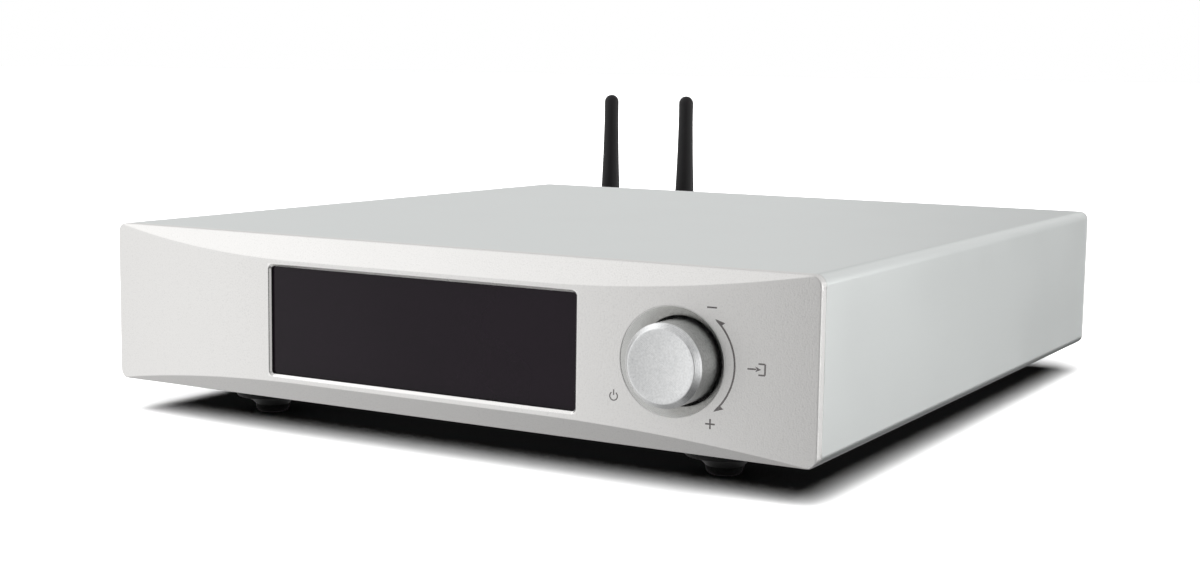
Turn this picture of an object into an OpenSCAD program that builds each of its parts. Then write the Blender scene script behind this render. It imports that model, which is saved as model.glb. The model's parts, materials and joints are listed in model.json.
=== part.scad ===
// Network music streamer: a low aluminium case with a bowed and bevelled front panel, a display
// window, a knob that turns and pushes, four feet and two swivelling antennas at the back.
// Millimetres. The front faces -Y, +Z is up, and the origin is on the table under the middle.

/* [Case] */
// Width of the case
body_w = 235; // [225:1:300]
// Height of the case without its feet
body_h = 48.6; // [46:0.1:70]
// Depth from the ends of the front panel to the face of the rear panel
body_d = 249; // [245:1:320]
// Radius of the long edges of the case
edge_r = 3; // [2:0.5:5]
// Thickness of the walls of the cover
wall = 2.5; // [2:0.1:3]
// Width of the lips under the cover that carry the base plate
lip_w = 12; // [11:0.5:18]
// Thickness of the base plate
base_t = 2; // [1.5:0.1:3]
// Thickness of the rear panel
rear_t = 2; // [1.5:0.1:3]
// Thickness of the steel panel behind the front panel
sub_t = 1.5; // [1.2:0.1:2]
// Depth of the foot flange of that steel panel
sub_flange_d = 14; // [12:0.5:20]
// Radius of the screw channels in the upper corners of the cover
channel_r = 3.6; // [3.2:0.1:4.5]
// Height of the tabs that stand up at the back of the base plate
tab_h = 8; // [7:0.5:9]
// Width of those tabs
tab_w = 14; // [10:1:20]

/* [Front panel] */
// Thickness of the front panel at its ends
fascia_end_t = 3; // [2.5:0.1:5]
// How far the middle of the front panel stands in front of its ends
fascia_bow = 6.6; // [5.5:0.1:9]
// Width of the flat middle of the front panel
fascia_flat = 80; // [60:1:110]
// Slope of the bevels along the upper and lower edges, from level
bevel_angle = 45; // [40:1:48]
// Distance of the fixing screws from the ends of the front panel
fascia_screw_inset = 15; // [12:0.5:20]
// Depth of the threaded holes in the back of the front panel
fascia_hole_depth = 3.6; // [3:0.1:4]

/* [Display] */
// Width of the window
window_w = 102.7; // [90:0.1:104]
// Height of the window
window_h = 31.5; // [26:0.1:32]
// Radius of the corners of the window
window_r = 1; // [0.5:0.1:2]
// Chamfer round the window
window_chamfer = 0.8; // [0.4:0.1:1.2]
// Thickness of the metal round the window
window_lip = 1.2; // [1.1:0.1:2]
// How far the pane reaches behind that metal
pane_lap = 1.8; // [1.4:0.1:2]
// Thickness of the pane
pane_t = 2.5; // [2:0.1:3]
// Thickness of the gasket round the pane
gasket_t = 0.3; // [0.3:0.1:0.8]
// Thickness of the display glass
glass_t = 2; // [1.5:0.1:2.5]

/* [Knob] */
// Distance of the knob's axis from the right-hand end
knob_inset = 37.3; // [35:0.1:40]
// Radius of the knob
knob_r = 10.9; // [10:0.1:12]
// How far the knob stands out of the front panel
knob_proud = 8.2; // [7:0.1:12]
// Width of the chamfer on the knob's face
knob_chamfer_w = 1.4; // [0.6:0.1:2]
// Length of that chamfer along the axis
knob_chamfer_l = 1.1; // [1:0.1:2.5]
// Depth of the hollow in the knob's face
knob_hollow = 0.4; // [0.2:0.1:0.8]
// Gap between the knob and its hole
knob_gap = 0.7; // [0.4:0.1:1.2]
// Depth of the cone round the knob, on the knob's axis
dish_depth = 2.8; // [2:0.1:4]
// How far the knob can be pushed in
push_travel = 1; // [0.5:0.1:1.2]
// Radius of the encoder's shaft
shaft_r = 3; // [2.5:0.1:3.2]
// Radius of the encoder's threaded neck
neck_r = 4.5; // [4.2:0.1:4.8]
// Width of the encoder's housing
encoder_w = 13; // [12:0.5:16]
// Depth of the encoder's housing
encoder_d = 7.5; // [7:0.1:9]

/* [Feet] */
// Height of the case above the table
foot_drop = 10.7; // [9:0.1:16]
// Distance of each foot from the side of the case
foot_inset_x = 38.2; // [34:0.1:50]
// Distance of each foot from the front and back of the case
foot_inset_y = 27; // [24:0.5:40]
// Radius of the collar at the top of a foot
foot_r = 11; // [10.5:0.5:14]
// Radius of the stem of a foot
foot_stem_r = 5.2; // [4.8:0.1:6]
// Height of the flare between the collar and the stem of a foot
foot_flare_l = 2.9; // [2:0.1:4]
// Radius of that flare's hollow curve
foot_flare_r = 8; // [6:0.5:20]
// Thickness of the rubber pad under a foot
pad_t = 2.5; // [2:0.1:3]
// Rounding of the pad's lower edge
pad_round = 1.8; // [1:0.1:1.9]

/* [Antennas] */
// Distance of the first antenna from the left-hand side
antenna_inset = 25; // [22:0.5:30]
// Distance between the antennas
antenna_gap = 36; // [34:0.5:42]
// Height of an antenna above its pivot
whip_l = 63; // [50:1:68]
// Radius of an antenna at its foot
whip_foot_r = 4.2; // [3.8:0.1:4.4]
// Height above the pivot where the flared foot ends
whip_flare_l = 36; // [25:1:40]
// Radius of an antenna above the flare
whip_r = 3; // [2.4:0.1:3.2]
// Radius of an antenna below its domed tip
whip_tip_r = 2.95; // [2.2:0.05:3]
// Radius of the elbow
elbow_r = 4.2; // [4:0.1:4.6]
// Radius of the elbow's pivot pin
pivot_r = 1; // [0.8:0.1:1.3]
// Radius of the antenna jack's thread
jack_r = 3.15; // [3:0.05:3.3]

/* [Rear layout] */
// Distance between the columns of audio jacks
audio_pitch_x = 14; // [13:0.5:15]
// Distance between the rows of audio jacks
audio_pitch_z = 16; // [15:0.5:18]
// Distance of the mains inlet from the right-hand side
inlet_inset = 27.5; // [27:0.5:29]

/* [Boards] */
// Height of the pillars under the boards
pillar_h = 6; // [5:0.5:7]
// Thickness of the circuit boards
board_t = 1.6; // [1.2:0.1:2]
// Depth of the main board
main_d = 126; // [110:1:130]
// Depth of the power board
power_d = 86; // [75:1:95]
// Width of the power board
power_w = 86; // [75:1:90]
// Radius of the mains transformer
transformer_r = 34; // [30:1:36]
// Height of the mains transformer
transformer_h = 28; // [24:1:30]

/* [Hidden] */
$fn = 64;

// Clearances and cutting allowance
fit = 0.3;
running = 0.05;
cut = 1;

// Screws: thread, heads and sockets
m3_r = 1.5;
m3_head_r = 2.75;
m3_head_h = 1.9;
m3_csk_r = 3;
m3_socket_r = 1.15;
m3_socket_depth = 1.2;
grub_socket_r = 0.8;
thread_clear = 0.05;
through_clear = 0.2;

// Levels of the case
half_w = body_w / 2;
mid_z = body_h / 2;
inner_x = half_w - wall;
inner_top = body_h - wall;
base_top = wall + base_t;
rear_in = body_d - rear_t;
sub_back = fascia_end_t + sub_t;
channel_sink = 0.6;
channel_x = inner_x - channel_r + channel_sink;
channel_z = inner_top - channel_r + channel_sink;
channel_hole_l = 12;
tab_inset = 2.3;
tab_x = inner_x - tab_w / 2 - tab_inset;
tab_screw_z = base_top + tab_h / 2;
lip_screw_x = half_w - lip_w / 2;
lip_screw_inset_y = 22;
rear_screw_bite = 4;
sub_screw_xs = [-half_w / 2, 0, half_w / 2];
sub_screw_y = fascia_end_t + sub_flange_d / 2 + sub_t;

// Front panel: the arcs at both sides meet the flat middle without a kink
bow_run = half_w - fascia_flat / 2;
bow_r = (bow_run ^ 2 + fascia_bow ^ 2) / (2 * fascia_bow);
bow_fn = 720;
bevel_h = fascia_bow * tan(bevel_angle);
fascia_screw_x = half_w - fascia_screw_inset;
fascia_screw_inset_z = 8;
fascia_screw_dz = mid_z - base_top - fascia_screw_inset_z;

// Height of the front panel's face in front of its ends, at a distance from the middle
function bow(x) = abs(x) <= fascia_flat / 2
    ? fascia_bow
    : fascia_bow - bow_r + sqrt(bow_r ^ 2 - (abs(x) - fascia_flat / 2) ^ 2);

// Display stack, from the pocket's floor backwards
pocket_y = window_lip - fascia_bow;
pane_y = pocket_y + gasket_t;
glass_y = pane_y + pane_t;
frame_y = glass_y + glass_t;
pane_w = window_w + 2 * pane_lap;
pane_h = window_h + 2 * pane_lap;
pane_fit = 0.2;
frame_wall = 1;
frame_w = window_w + 2 * frame_wall;
frame_h = window_h + 2 * frame_wall;
display_margin_x = 6.5;
display_board_w = window_w + 2 * display_margin_x;
display_board_h = 2 * (mid_z - base_top - sub_t - fit);
display_screw_out = 3.9;
display_screw_in = 2;
display_screw_x = window_w / 2 + display_screw_out;
display_screw_dz = window_h / 2 - display_screw_in;

// Knob and encoder, along the knob's axis
knob_x = half_w - knob_inset;
knob_face_y = -bow(knob_x);
knob_front_y = knob_face_y - knob_proud;
knob_hole_r = knob_r + knob_gap;
dish_y = knob_face_y + dish_depth;
dish_front_y = -fascia_bow - cut;
dish_r = knob_hole_r + dish_y - dish_front_y;
neck_l = 6;
neck_front_y = fascia_end_t - neck_l;
knob_cavity_y = neck_front_y - push_travel - 2 * fit;
knob_cavity_r = 8.2;
knob_back_y = fascia_end_t - push_travel - 2 * fit;
knob_crown = 2.6;
knob_bore_y = knob_front_y + knob_crown;
shaft_front_y = knob_bore_y + fit;
shaft_flat_depth = 0.5;
shaft_flat = shaft_r - shaft_flat_depth;
grub_y = (knob_cavity_y + knob_bore_y) / 2;
grub_l = 4.6;
knob_face_r = knob_r - knob_chamfer_w;
knob_rim = 0.3;
knob_hollow_r = ((knob_face_r - knob_rim) ^ 2 + knob_hollow ^ 2) / (2 * knob_hollow);
knob_hollow_fn = 128;
washer_t = 0.5;
washer_r = 7;
encoder_nut_r = 7.5;
encoder_nut_t = 2;
encoder_back_y = sub_back + encoder_d;
encoder_back_t = 1;
plunger_t = 1.5;
plunger_stem_r = 1.2;
shaft_back_y = encoder_back_y - encoder_back_t - push_travel - plunger_t - fit;
encoder_board_w = 24;

// Feet
foot_x = half_w - foot_inset_x;
foot_front_y = foot_inset_y;
foot_back_y = body_d - foot_inset_y;
foot_low = pad_t - foot_drop;
foot_flare_z = foot_low + foot_flare_l;
foot_flare_run = foot_r - foot_stem_r;
foot_flare_half = norm([foot_flare_run, foot_flare_l]) / 2;
foot_flare_out = sqrt(foot_flare_r ^ 2 - foot_flare_half ^ 2) / (2 * foot_flare_half);
foot_flare_centre = [
    (foot_r + foot_stem_r) / 2 + foot_flare_out * foot_flare_l,
    (foot_flare_z + foot_low) / 2 - foot_flare_out * foot_flare_run
];
foot_pocket_depth = 4;
foot_head_z = foot_low + foot_pocket_depth;
foot_pocket_r = m3_head_r + fit;

// Antennas, from the rear panel backwards
antenna_left_x = antenna_inset - half_w;
antenna_right_x = antenna_left_x + antenna_gap;
antenna_xs = [antenna_left_x, antenna_right_x];
jack_hex_r = 4.6;
jack_hex_t = 6;
jack_nut_t = 2.4;
collar_gap = 0.8;
collar_y = body_d + jack_nut_t + collar_gap;
collar_l = 6;
collar_r = 4.6;
collar_wall = 1.4;
collar_back_y = collar_y + collar_l;
jack_end_gap = 1.2;
jack_end_y = collar_back_y - collar_wall - jack_end_gap;
spigot_r = 2;
spigot_head_r = 2.9;
spigot_head_t = 0.7;
elbow_gap = 0.2;
elbow_y = collar_back_y + elbow_gap;
elbow_neck_t = 1.6;
pivot_y = elbow_y + elbow_neck_t + elbow_r;
slot_half = 2.2;
tongue_gap = 0.12;
tongue_half = slot_half - tongue_gap;
tongue_inset = 0.25;
tongue_r = elbow_r - tongue_inset;
pin_inset = 0.25;
pin_l = 2 * (elbow_r - pin_inset);
whip_gap = 0.4;
whip_start = elbow_r + whip_gap;

// Jacks and sockets in the rear panel
board_top = base_top + pillar_h + board_t;
cutout = 0.2;
network_w = 16;
network_h = 13.4;
network_d = 18;
network_proud = 0.4;
network_socket_w = 11.8;
network_socket_h = 6.8;
network_socket_d = 13;
network_socket_z = 4.2;
network_latch_w = 6.2;
network_latch_h = 2.6;
network_contact = 0.45;
network_contact_pitch = 1.02;
network_contact_l = 9;
network_contact_count = 8;
data_w = 14.4;
data_h = 16.2;
data_d = 17;
data_proud = 0.6;
data_socket_w = 12.5;
data_socket_h = 5.1;
data_socket_d = 11;
data_socket_zs = [4.6, 11.6];
data_tongue_w = 11.1;
data_tongue_t = 1.8;
data_tongue_l = 9;
data_tongue_rise = 0.9;
optical_w = 10;
optical_h = 10.4;
optical_d = 15.5;
optical_proud = 0.5;
optical_socket_w = 7.6;
optical_socket_z = [1.5, 8.9];
optical_socket_d = 11.5;
shutter_w = 7.2;
shutter_t = 0.8;
shutter_l = 6.3;
shutter_barrel_r = 0.7;
shutter_pin_r = 0.55;
shutter_pin_l = 8.6;
audio_ring_r = 6;
switch_bezel = [15.5, 23];
inlet_x = half_w - inlet_inset;
inlet_flange = [48, 23.4];

// Even gaps between what stands in the rear panel, from the second antenna to the mains inlet
row_from = antenna_right_x + jack_hex_r;
row_to = inlet_x - inlet_flange[0] / 2;
audio_w = audio_pitch_x + 2 * audio_ring_r;
row_widths = [network_w, data_w, optical_w, audio_w, switch_bezel[0]];
row_free = row_to - row_from - row_widths * [for (w = row_widths) 1];
row_gap = row_free / (len(row_widths) + 1);
network_x = row_from + row_gap + network_w / 2;
data_x = network_x + (network_w + data_w) / 2 + row_gap;
optical_x = data_x + (data_w + optical_w) / 2 + row_gap;
audio_x = optical_x + optical_w / 2 + row_gap + audio_ring_r;
switch_x = row_to - row_gap - switch_bezel[0] / 2;

shutter_gap = 0.1;
shutter_inset = 1;
shutter_z = board_top + optical_socket_z[1] - shutter_barrel_r - shutter_gap;
shutter_y = body_d - shutter_inset;
audio_zs = [mid_z - audio_pitch_z / 2, mid_z + audio_pitch_z / 2];
audio_places = [
    [audio_x, audio_zs[0]],
    [audio_x, audio_zs[1]],
    [audio_x + audio_pitch_x, audio_zs[0]]
];
trigger_x = audio_x + audio_pitch_x;
trigger_z = audio_zs[1];
audio_barrel_r = 4.15;
audio_barrel_l = 8.5;
audio_flange_r = 5.4;
audio_flange_t = 1;
audio_ring_t = 1;
audio_shoulder_r = 4.2;
audio_tail_r = 3;
audio_tail_l = 9;
audio_socket_r = 1.6;
audio_nut_r = 5.8;
audio_nut_t = 2.5;
trigger_socket_r = 1.8;
trigger_bush_r = 3;
trigger_flange_r = 4.4;
trigger_flange_t = 1.6;
trigger_body_w = 9;
trigger_body_l = 13;
trigger_back_t = 1;
switch_tilt = 10;
switch_bezel_t = 1.6;
switch_bezel_r = 1;
switch_body = [13.5, 21.6];
switch_body_d = 19;
switch_well = [11.2, 19];
switch_well_d = 9.4;
rocker_w = 10.6;
rocker_half = 8.2;
rocker_rise = 4.6;
rocker_skirt = 4.5;
rocker_heel = [3, -2.5];
rocker_pin_r = 1.2;
rocker_pin_l = 12.8;
rocker_proud = 0.3;
switch_pivot_y = body_d + switch_bezel_t + rocker_proud - rocker_rise * cos(switch_tilt);
inlet_flange_t = 2;
inlet_flange_r = 2;
inlet_body = [27.4, 20];
inlet_body_d = 24;
inlet_socket = [24, 16];
inlet_socket_corner = 4;
inlet_socket_d = 17;
inlet_screw_dx = 20;
blade = [2, 4];
blade_l = 15;
blade_tail = 5;
blade_places = [[-7, -2], [7, -2], [0, 2]];

// Boards and what stands on them
board_z = base_top + pillar_h;
main_margin = 5;
main_overhang = 1.5;
main_rear_gap = 2.5;
power_margin = 6;
power_rear_gap = 36;
main_x = [main_margin - inner_x, optical_x + optical_w / 2 + main_overhang];
main_y = [rear_in - main_rear_gap - main_d, rear_in - main_rear_gap];
power_x = [inner_x - power_margin - power_w, inner_x - power_margin];
power_y = [rear_in - power_rear_gap - power_d, rear_in - power_rear_gap];
pillar_inset = 6;
jack_clear = network_d;
pillar_r = 3;
board_screw_l = 5;
module_w = 46;
module_t = 1.2;
module_header_h = 5;
module_header_w = 3;
module_inset = 36;
module_y = main_y[0] + module_inset;
module_x = (antenna_left_x + antenna_right_x) / 2;
module_top = board_top + module_header_h + module_t;
shield_w = 26;
shield_h = 4;
shield_t = 1;
transformer_hole_r = 10;
transformer_round = 6;
transformer_margin = 8;
transformer_front_gap = 22;
transformer_x = inner_x - transformer_margin - transformer_r;
transformer_y = encoder_back_y + board_t + transformer_front_gap + transformer_r;
clamp_r = 26;
clamp_t = 1.5;
clamp_bolt_r = 2.5;
clamp_head_r = 4.6;
clamp_head_h = 3.5;
capacitor_r = 8;
capacitor_h = 22;
capacitor_pitch = 19;
capacitor_count = 4;
capacitor_inset = [14, 18];
sink_size = [52, 16, 24];
sink_fin_t = 1.6;
sink_fins = 8;
sink_back_t = 3;
sink_inset = [16, 42];
ribbon_x = -window_w / 4;
ribbon_w = 16;
ribbon_t = 0.4;
ribbon_rise = 4;
ribbon_z = board_top + ribbon_rise;
ribbon_landing = 8;
lead_r = 0.9;
lead_y = module_y + module_w / 2;
mains_lead_r = 1.2;
mains_lead_inset = 8;
mains_lead_y = power_y[1] - mains_lead_inset;

// Origin: the middle of the whole length, from the knob's face to the elbows
rear_reach = pivot_y + elbow_r;
mid_y = (rear_reach + knob_front_y) / 2;

// Helpers

// Moves a piece from the case's own levels to the origin on the table
module place() {
    translate([0, -mid_y, foot_drop]) children();
}

// A flat shape in X and Z, carried along Y
module along_y(y0, y1) {
    translate([0, y1, 0]) rotate([90, 0, 0]) linear_extrude(y1 - y0) children();
}

// A flat shape in Y and Z, carried along X
module along_x(x0, x1) {
    translate([x0, 0, 0]) rotate([90, 0, 90]) linear_extrude(x1 - x0) children();
}

// A round rod or cone along Y
module rod_y(r, y0, y1, r_end = -1) {
    translate([0, y0, 0]) rotate([-90, 0, 0])
        cylinder(r1 = r, r2 = r_end < 0 ? r : r_end, h = y1 - y0);
}

// A hexagonal rod along Y, given by its corner radius
module hex_y(r, y0, y1) {
    translate([0, y0, 0]) rotate([-90, 0, 0]) cylinder(r = r, h = y1 - y0, $fn = 6);
}

// A round rod along X, centred
module rod_x(r, l) {
    translate([-l / 2, 0, 0]) rotate([0, 90, 0]) cylinder(r = r, h = l);
}

// A centred rectangle with round corners
module round_rect(w, h, r) {
    square([w - 2 * r, h], center = true);
    square([w, h - 2 * r], center = true);
    for (x = [-1, 1], y = [-1, 1])
        translate([x * (w / 2 - r), y * (h / 2 - r)]) circle(r);
}

// A box between two corners
module box(low, high) {
    translate(low) cube(high - low);
}

// A screw with a round head that sits on z = 0 and a shank below it
module pan_screw(l) {
    difference() {
        union() {
            cylinder(r = m3_head_r, h = m3_head_h);
            translate([0, 0, -l]) cylinder(r = m3_r, h = l + m3_head_h / 2);
        }
        translate([0, 0, m3_head_h - m3_socket_depth])
            cylinder(r = m3_socket_r, h = m3_socket_depth + cut, $fn = 6);
    }
}

// A screw with a cone-shaped head whose top is level with z = 0
module flush_screw(l) {
    cone = m3_csk_r - m3_r;
    difference() {
        union() {
            translate([0, 0, -cone]) cylinder(r1 = m3_r, r2 = m3_csk_r, h = cone);
            translate([0, 0, -l]) cylinder(r = m3_r, h = l - cone / 2);
        }
        translate([0, 0, -m3_socket_depth])
            cylinder(r = m3_socket_r, h = m3_socket_depth + cut, $fn = 6);
    }
}

// The hole for that screw
module flush_hole(l) {
    cone = m3_csk_r - m3_r;
    r = m3_r + thread_clear;
    translate([0, 0, -cone]) cylinder(r1 = r, r2 = r + cone, h = cone);
    translate([0, 0, -l - cut]) cylinder(r = r, h = l + 2 * cut);
}

// Puts a piece at each fixing place of the front panel
module at_fascia_screws() {
    for (x = [-1, 1], z = [-1, 1])
        translate([x * fascia_screw_x, 0, mid_z + z * fascia_screw_dz]) children();
}

module at_display_screws() {
    for (x = [-1, 1], z = [-1, 1])
        translate([x * display_screw_x, 0, mid_z + z * display_screw_dz]) children();
}

module at_sub_screws() {
    for (x = sub_screw_xs) translate([x, sub_screw_y, 0]) children();
}

module at_lip_screws() {
    for (x = [-1, 1], y = [lip_screw_inset_y, body_d / 2, body_d - lip_screw_inset_y])
        translate([x * lip_screw_x, y, 0]) children();
}

module at_feet() {
    for (x = [-1, 1], y = [foot_front_y, foot_back_y]) translate([x * foot_x, y, 0]) children();
}

module at_pillars() {
    for (b = [[main_x, main_y, jack_clear], [power_x, power_y, 0]], i = [0, 1], j = [0, 1])
        translate([
            b[0][i] + (i == 0 ? pillar_inset : -pillar_inset),
            b[1][j] + (j == 0 ? pillar_inset : -pillar_inset - b[2]),
            0
        ]) children();
}

module at_rear_screws() {
    for (x = [-1, 1]) {
        translate([x * channel_x, 0, channel_z]) children();
        translate([x * tab_x, 0, tab_screw_z]) children();
    }
}

module at_inlet_screws() {
    for (x = [-1, 1]) translate([inlet_x + x * inlet_screw_dx, 0, mid_z]) children();
}

module at_audio() {
    for (p = audio_places) translate([p[0], 0, p[1]]) children();
}

module at_antennas() {
    for (x = antenna_xs) translate([x, 0, mid_z]) children();
}

module at_knob() {
    translate([knob_x, 0, mid_z]) children();
}

// Turns a screw that points down so that it points to the front
module pointing_front() {
    rotate([-90, 0, 0]) children();
}

// Outline of the case from the front
module case_outline() {
    translate([0, mid_z]) round_rect(body_w, body_h, edge_r);
}

// Case pieces

// Outline of the front panel from above: flat in the middle, an arc at each side
module fascia_plan() {
    depth = fascia_bow + fascia_end_t;
    translate([-fascia_flat / 2, -fascia_bow]) square([fascia_flat, depth]);
    for (side = [0, 1]) mirror([side, 0]) intersection() {
        translate([fascia_flat / 2 - cut, -fascia_bow]) square([bow_run + 2 * cut, depth]);
        translate([fascia_flat / 2, bow_r - fascia_bow]) circle(bow_r, $fn = bow_fn);
    }
}

// Outline of the front panel from the side: two bevels, carried on past the back
module fascia_side() {
    back = fascia_end_t + cut;
    rise = back * tan(bevel_angle);
    polygon([
        [back, -rise],
        [-fascia_bow, bevel_h],
        [-fascia_bow, body_h - bevel_h],
        [back, body_h + rise]
    ]);
}

// A window opening with a mitred chamfer at the front
module window_cut() {
    c = window_chamfer;
    front = -fascia_bow;
    intersection() {
        along_x(-half_w, half_w) translate([0, mid_z]) polygon([
            [front + c, -window_h / 2],
            [front - c, -window_h / 2 - 2 * c],
            [front - c, window_h / 2 + 2 * c],
            [front + c, window_h / 2]
        ]);
        linear_extrude(body_h) polygon([
            [-window_w / 2, front + c],
            [-window_w / 2 - 2 * c, front - c],
            [window_w / 2 + 2 * c, front - c],
            [window_w / 2, front + c]
        ]);
    }
    along_y(front - cut, pocket_y + cut) translate([0, mid_z]) round_rect(window_w, window_h, window_r);
}

module front_fascia() {
    color("gainsboro") place() difference() {
        intersection() {
            translate([0, 0, -cut]) linear_extrude(body_h + 2 * cut) fascia_plan();
            along_x(-half_w - 2 * cut, half_w + 2 * cut) fascia_side();
            along_y(-fascia_bow - cut, fascia_end_t + cut) case_outline();
        }
        window_cut();
        along_y(pocket_y, fascia_end_t + cut) translate([0, mid_z])
            square([pane_w + 2 * pane_fit, pane_h + 2 * pane_fit], center = true);
        at_knob() rod_y(knob_hole_r, dish_y - cut, fascia_end_t + cut);
        at_knob() rod_y(dish_r, dish_front_y, dish_y, knob_hole_r);
        at_fascia_screws()
            rod_y(m3_r + thread_clear, fascia_end_t - fascia_hole_depth, fascia_end_t + cut);
    }
}

// Section of the cover: top, two sides and the lips below them
module cover_section() {
    difference() {
        case_outline();
        translate([0, mid_z]) square([2 * inner_x, body_h - 2 * wall], center = true);
        translate([lip_w - half_w, -cut]) square([body_w - 2 * lip_w, wall + 2 * cut]);
    }
    for (x = [-1, 1]) translate([x * channel_x, channel_z]) circle(channel_r);
}

module top_cover() {
    color("lightgray") place() difference() {
        along_y(fascia_end_t, rear_in) cover_section();
        for (x = [-1, 1]) translate([x * channel_x, 0, channel_z])
            rod_y(m3_r + thread_clear, rear_in - channel_hole_l, rear_in + cut);
        at_lip_screws() mirror([0, 0, 1]) flush_hole(base_top);
    }
}

module base_plate() {
    color("silver") place() difference() {
        union() {
            box([fit - inner_x, fascia_end_t + fit, wall], [inner_x - fit, rear_in, base_top]);
            for (x = [-1, 1]) translate([x * tab_x, 0, 0])
                box([-tab_w / 2, rear_in - base_t, wall], [tab_w / 2, rear_in, base_top + tab_h]);
        }
        at_lip_screws() cylinder(r = m3_r + thread_clear, h = base_top + cut);
        at_feet() cylinder(r = m3_r + thread_clear, h = base_top + cut);
        at_pillars() cylinder(r = m3_r + thread_clear, h = base_top + cut);
        at_sub_screws() cylinder(r = m3_r + through_clear, h = base_top + cut);
        for (x = [-1, 1]) translate([x * tab_x, 0, tab_screw_z])
            rod_y(m3_r + thread_clear, rear_in - base_t - cut, rear_in + cut);
        translate([transformer_x, transformer_y, 0])
            cylinder(r = clamp_bolt_r + thread_clear, h = base_top + cut);
    }
}

// Cut-outs for everything that passes through the rear panel
module rear_cutouts() {
    from = rear_in - cut;
    to = body_d + cut;
    at_antennas() rod_y(jack_r + thread_clear, from, to);
    at_audio() rod_y(audio_shoulder_r + thread_clear, from, to);
    at_rear_screws() rod_y(m3_r + through_clear, from, to);
    at_inlet_screws() rod_y(m3_r + thread_clear, from, to);
    translate([trigger_x, 0, trigger_z]) rod_y(trigger_bush_r + thread_clear, from, to);
    translate([network_x, 0, board_top])
        box([-network_w / 2 - cutout, from, -cutout], [network_w / 2 + cutout, to, network_h + cutout]);
    translate([data_x, 0, board_top])
        box([-data_w / 2 - cutout, from, -cutout], [data_w / 2 + cutout, to, data_h + cutout]);
    translate([optical_x, 0, board_top])
        box([-optical_w / 2 - cutout, from, -cutout], [optical_w / 2 + cutout, to, optical_h + cutout]);
    around = [2 * cutout, 2 * cutout];
    along_y(from, to) {
        translate([switch_x, mid_z]) square(switch_body + around, center = true);
        translate([inlet_x, mid_z]) square(inlet_body + around, center = true);
    }
}

module rear_panel() {
    color("silver") place() difference() {
        along_y(rear_in, body_d) case_outline();
        rear_cutouts();
    }
}

// Steel panel that carries the front panel, the display and the knob's encoder
module front_subpanel() {
    notch = inner_x - channel_x + channel_r + fit;
    notch_z = inner_top - channel_z + channel_r + fit;
    corner = [fit - inner_x, fascia_end_t, base_top];
    color("dimgray") place() difference() {
        union() {
            box(corner, [inner_x - fit, sub_back, inner_top - fit]);
            box(corner, [inner_x - fit, fascia_end_t + sub_flange_d, base_top + sub_t]);
        }
        for (x = [-1, 1]) translate([x * inner_x, 0, inner_top])
            box([-notch, 0, -notch_z], [notch, sub_back + cut, notch_z]);
        along_y(fascia_end_t - cut, sub_back + cut) translate([0, mid_z])
            square([frame_w + fit, frame_h + fit], center = true);
        at_knob() rod_y(neck_r + thread_clear, fascia_end_t - cut, sub_back + cut);
        at_fascia_screws() rod_y(m3_r + through_clear, fascia_end_t - cut, sub_back + cut);
        at_display_screws() rod_y(m3_r + thread_clear, fascia_end_t - cut, sub_back + cut);
        at_sub_screws() translate([0, 0, base_top - cut])
            cylinder(r = m3_r + thread_clear, h = sub_t + 2 * cut);
    }
}

module panhead_screws() {
    color("darkgray") place() {
        at_fascia_screws() translate([0, sub_back, 0]) pointing_front()
            pan_screw(sub_t + fascia_hole_depth - fit);
        at_display_screws() translate([0, sub_back + board_t, 0]) pointing_front()
            pan_screw(board_t + sub_t - fit);
        at_sub_screws() translate([0, 0, wall]) mirror([0, 0, 1]) pan_screw(base_t + sub_t);
        at_pillars() translate([0, 0, board_top]) pan_screw(board_screw_l);
    }
}

module countersunk_screws() {
    color("darkgray") place() {
        at_lip_screws() mirror([0, 0, 1]) flush_screw(base_top);
        at_inlet_screws() translate([0, body_d + inlet_flange_t, 0]) pointing_front()
            flush_screw(inlet_flange_t + rear_t);
    }
}

module rear_panel_screws() {
    color("dimgray") place() at_rear_screws() translate([0, body_d, 0])
        pointing_front() pan_screw(rear_t + rear_screw_bite);
}

// Feet

module foot_profile() {
    difference() {
        translate([0, foot_low]) square([foot_r, wall - foot_low]);
        translate(foot_flare_centre) circle(foot_flare_r);
    }
}

module foot_cones() {
    color("black") place() at_feet() difference() {
        rotate_extrude() foot_profile();
        translate([0, 0, foot_low - cut])
            cylinder(r = m3_r + through_clear, h = wall - foot_low + 2 * cut);
        translate([0, 0, foot_low - cut])
            cylinder(r = foot_pocket_r, h = foot_pocket_depth + cut);
    }
}

module foot_pads() {
    r = foot_stem_r;
    color("black") place() at_feet() translate([0, 0, -foot_drop]) rotate_extrude() {
        square([r - pad_round, pad_t]);
        translate([0, pad_round]) square([r, pad_t - pad_round]);
        intersection() {
            translate([r - pad_round, pad_round]) circle(pad_round);
            square([r, pad_t]);
        }
    }
}

module foot_screws() {
    color("dimgray") place() at_feet() translate([0, 0, foot_head_z]) mirror([0, 0, 1])
        pan_screw(base_top - foot_head_z);
}

// Display

module window_gasket() {
    color("black") place() along_y(pocket_y, pane_y) translate([0, mid_z]) difference() {
        square([pane_w, pane_h], center = true);
        round_rect(window_w, window_h, window_r);
    }
}

module display_window() {
    color("black") place() along_y(pane_y, glass_y) translate([0, mid_z])
        square([pane_w, pane_h], center = true);
}

module display_glass() {
    color("darkslategray") place() along_y(glass_y, frame_y) translate([0, mid_z])
        square([window_w, window_h], center = true);
}

module display_frame() {
    color("ivory") place() difference() {
        along_y(frame_y, sub_back) translate([0, mid_z]) square([frame_w, frame_h], center = true);
        along_y(frame_y + frame_wall, sub_back + cut) translate([0, mid_z])
            square([window_w - 2 * frame_wall, window_h - 2 * frame_wall], center = true);
    }
}

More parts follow.
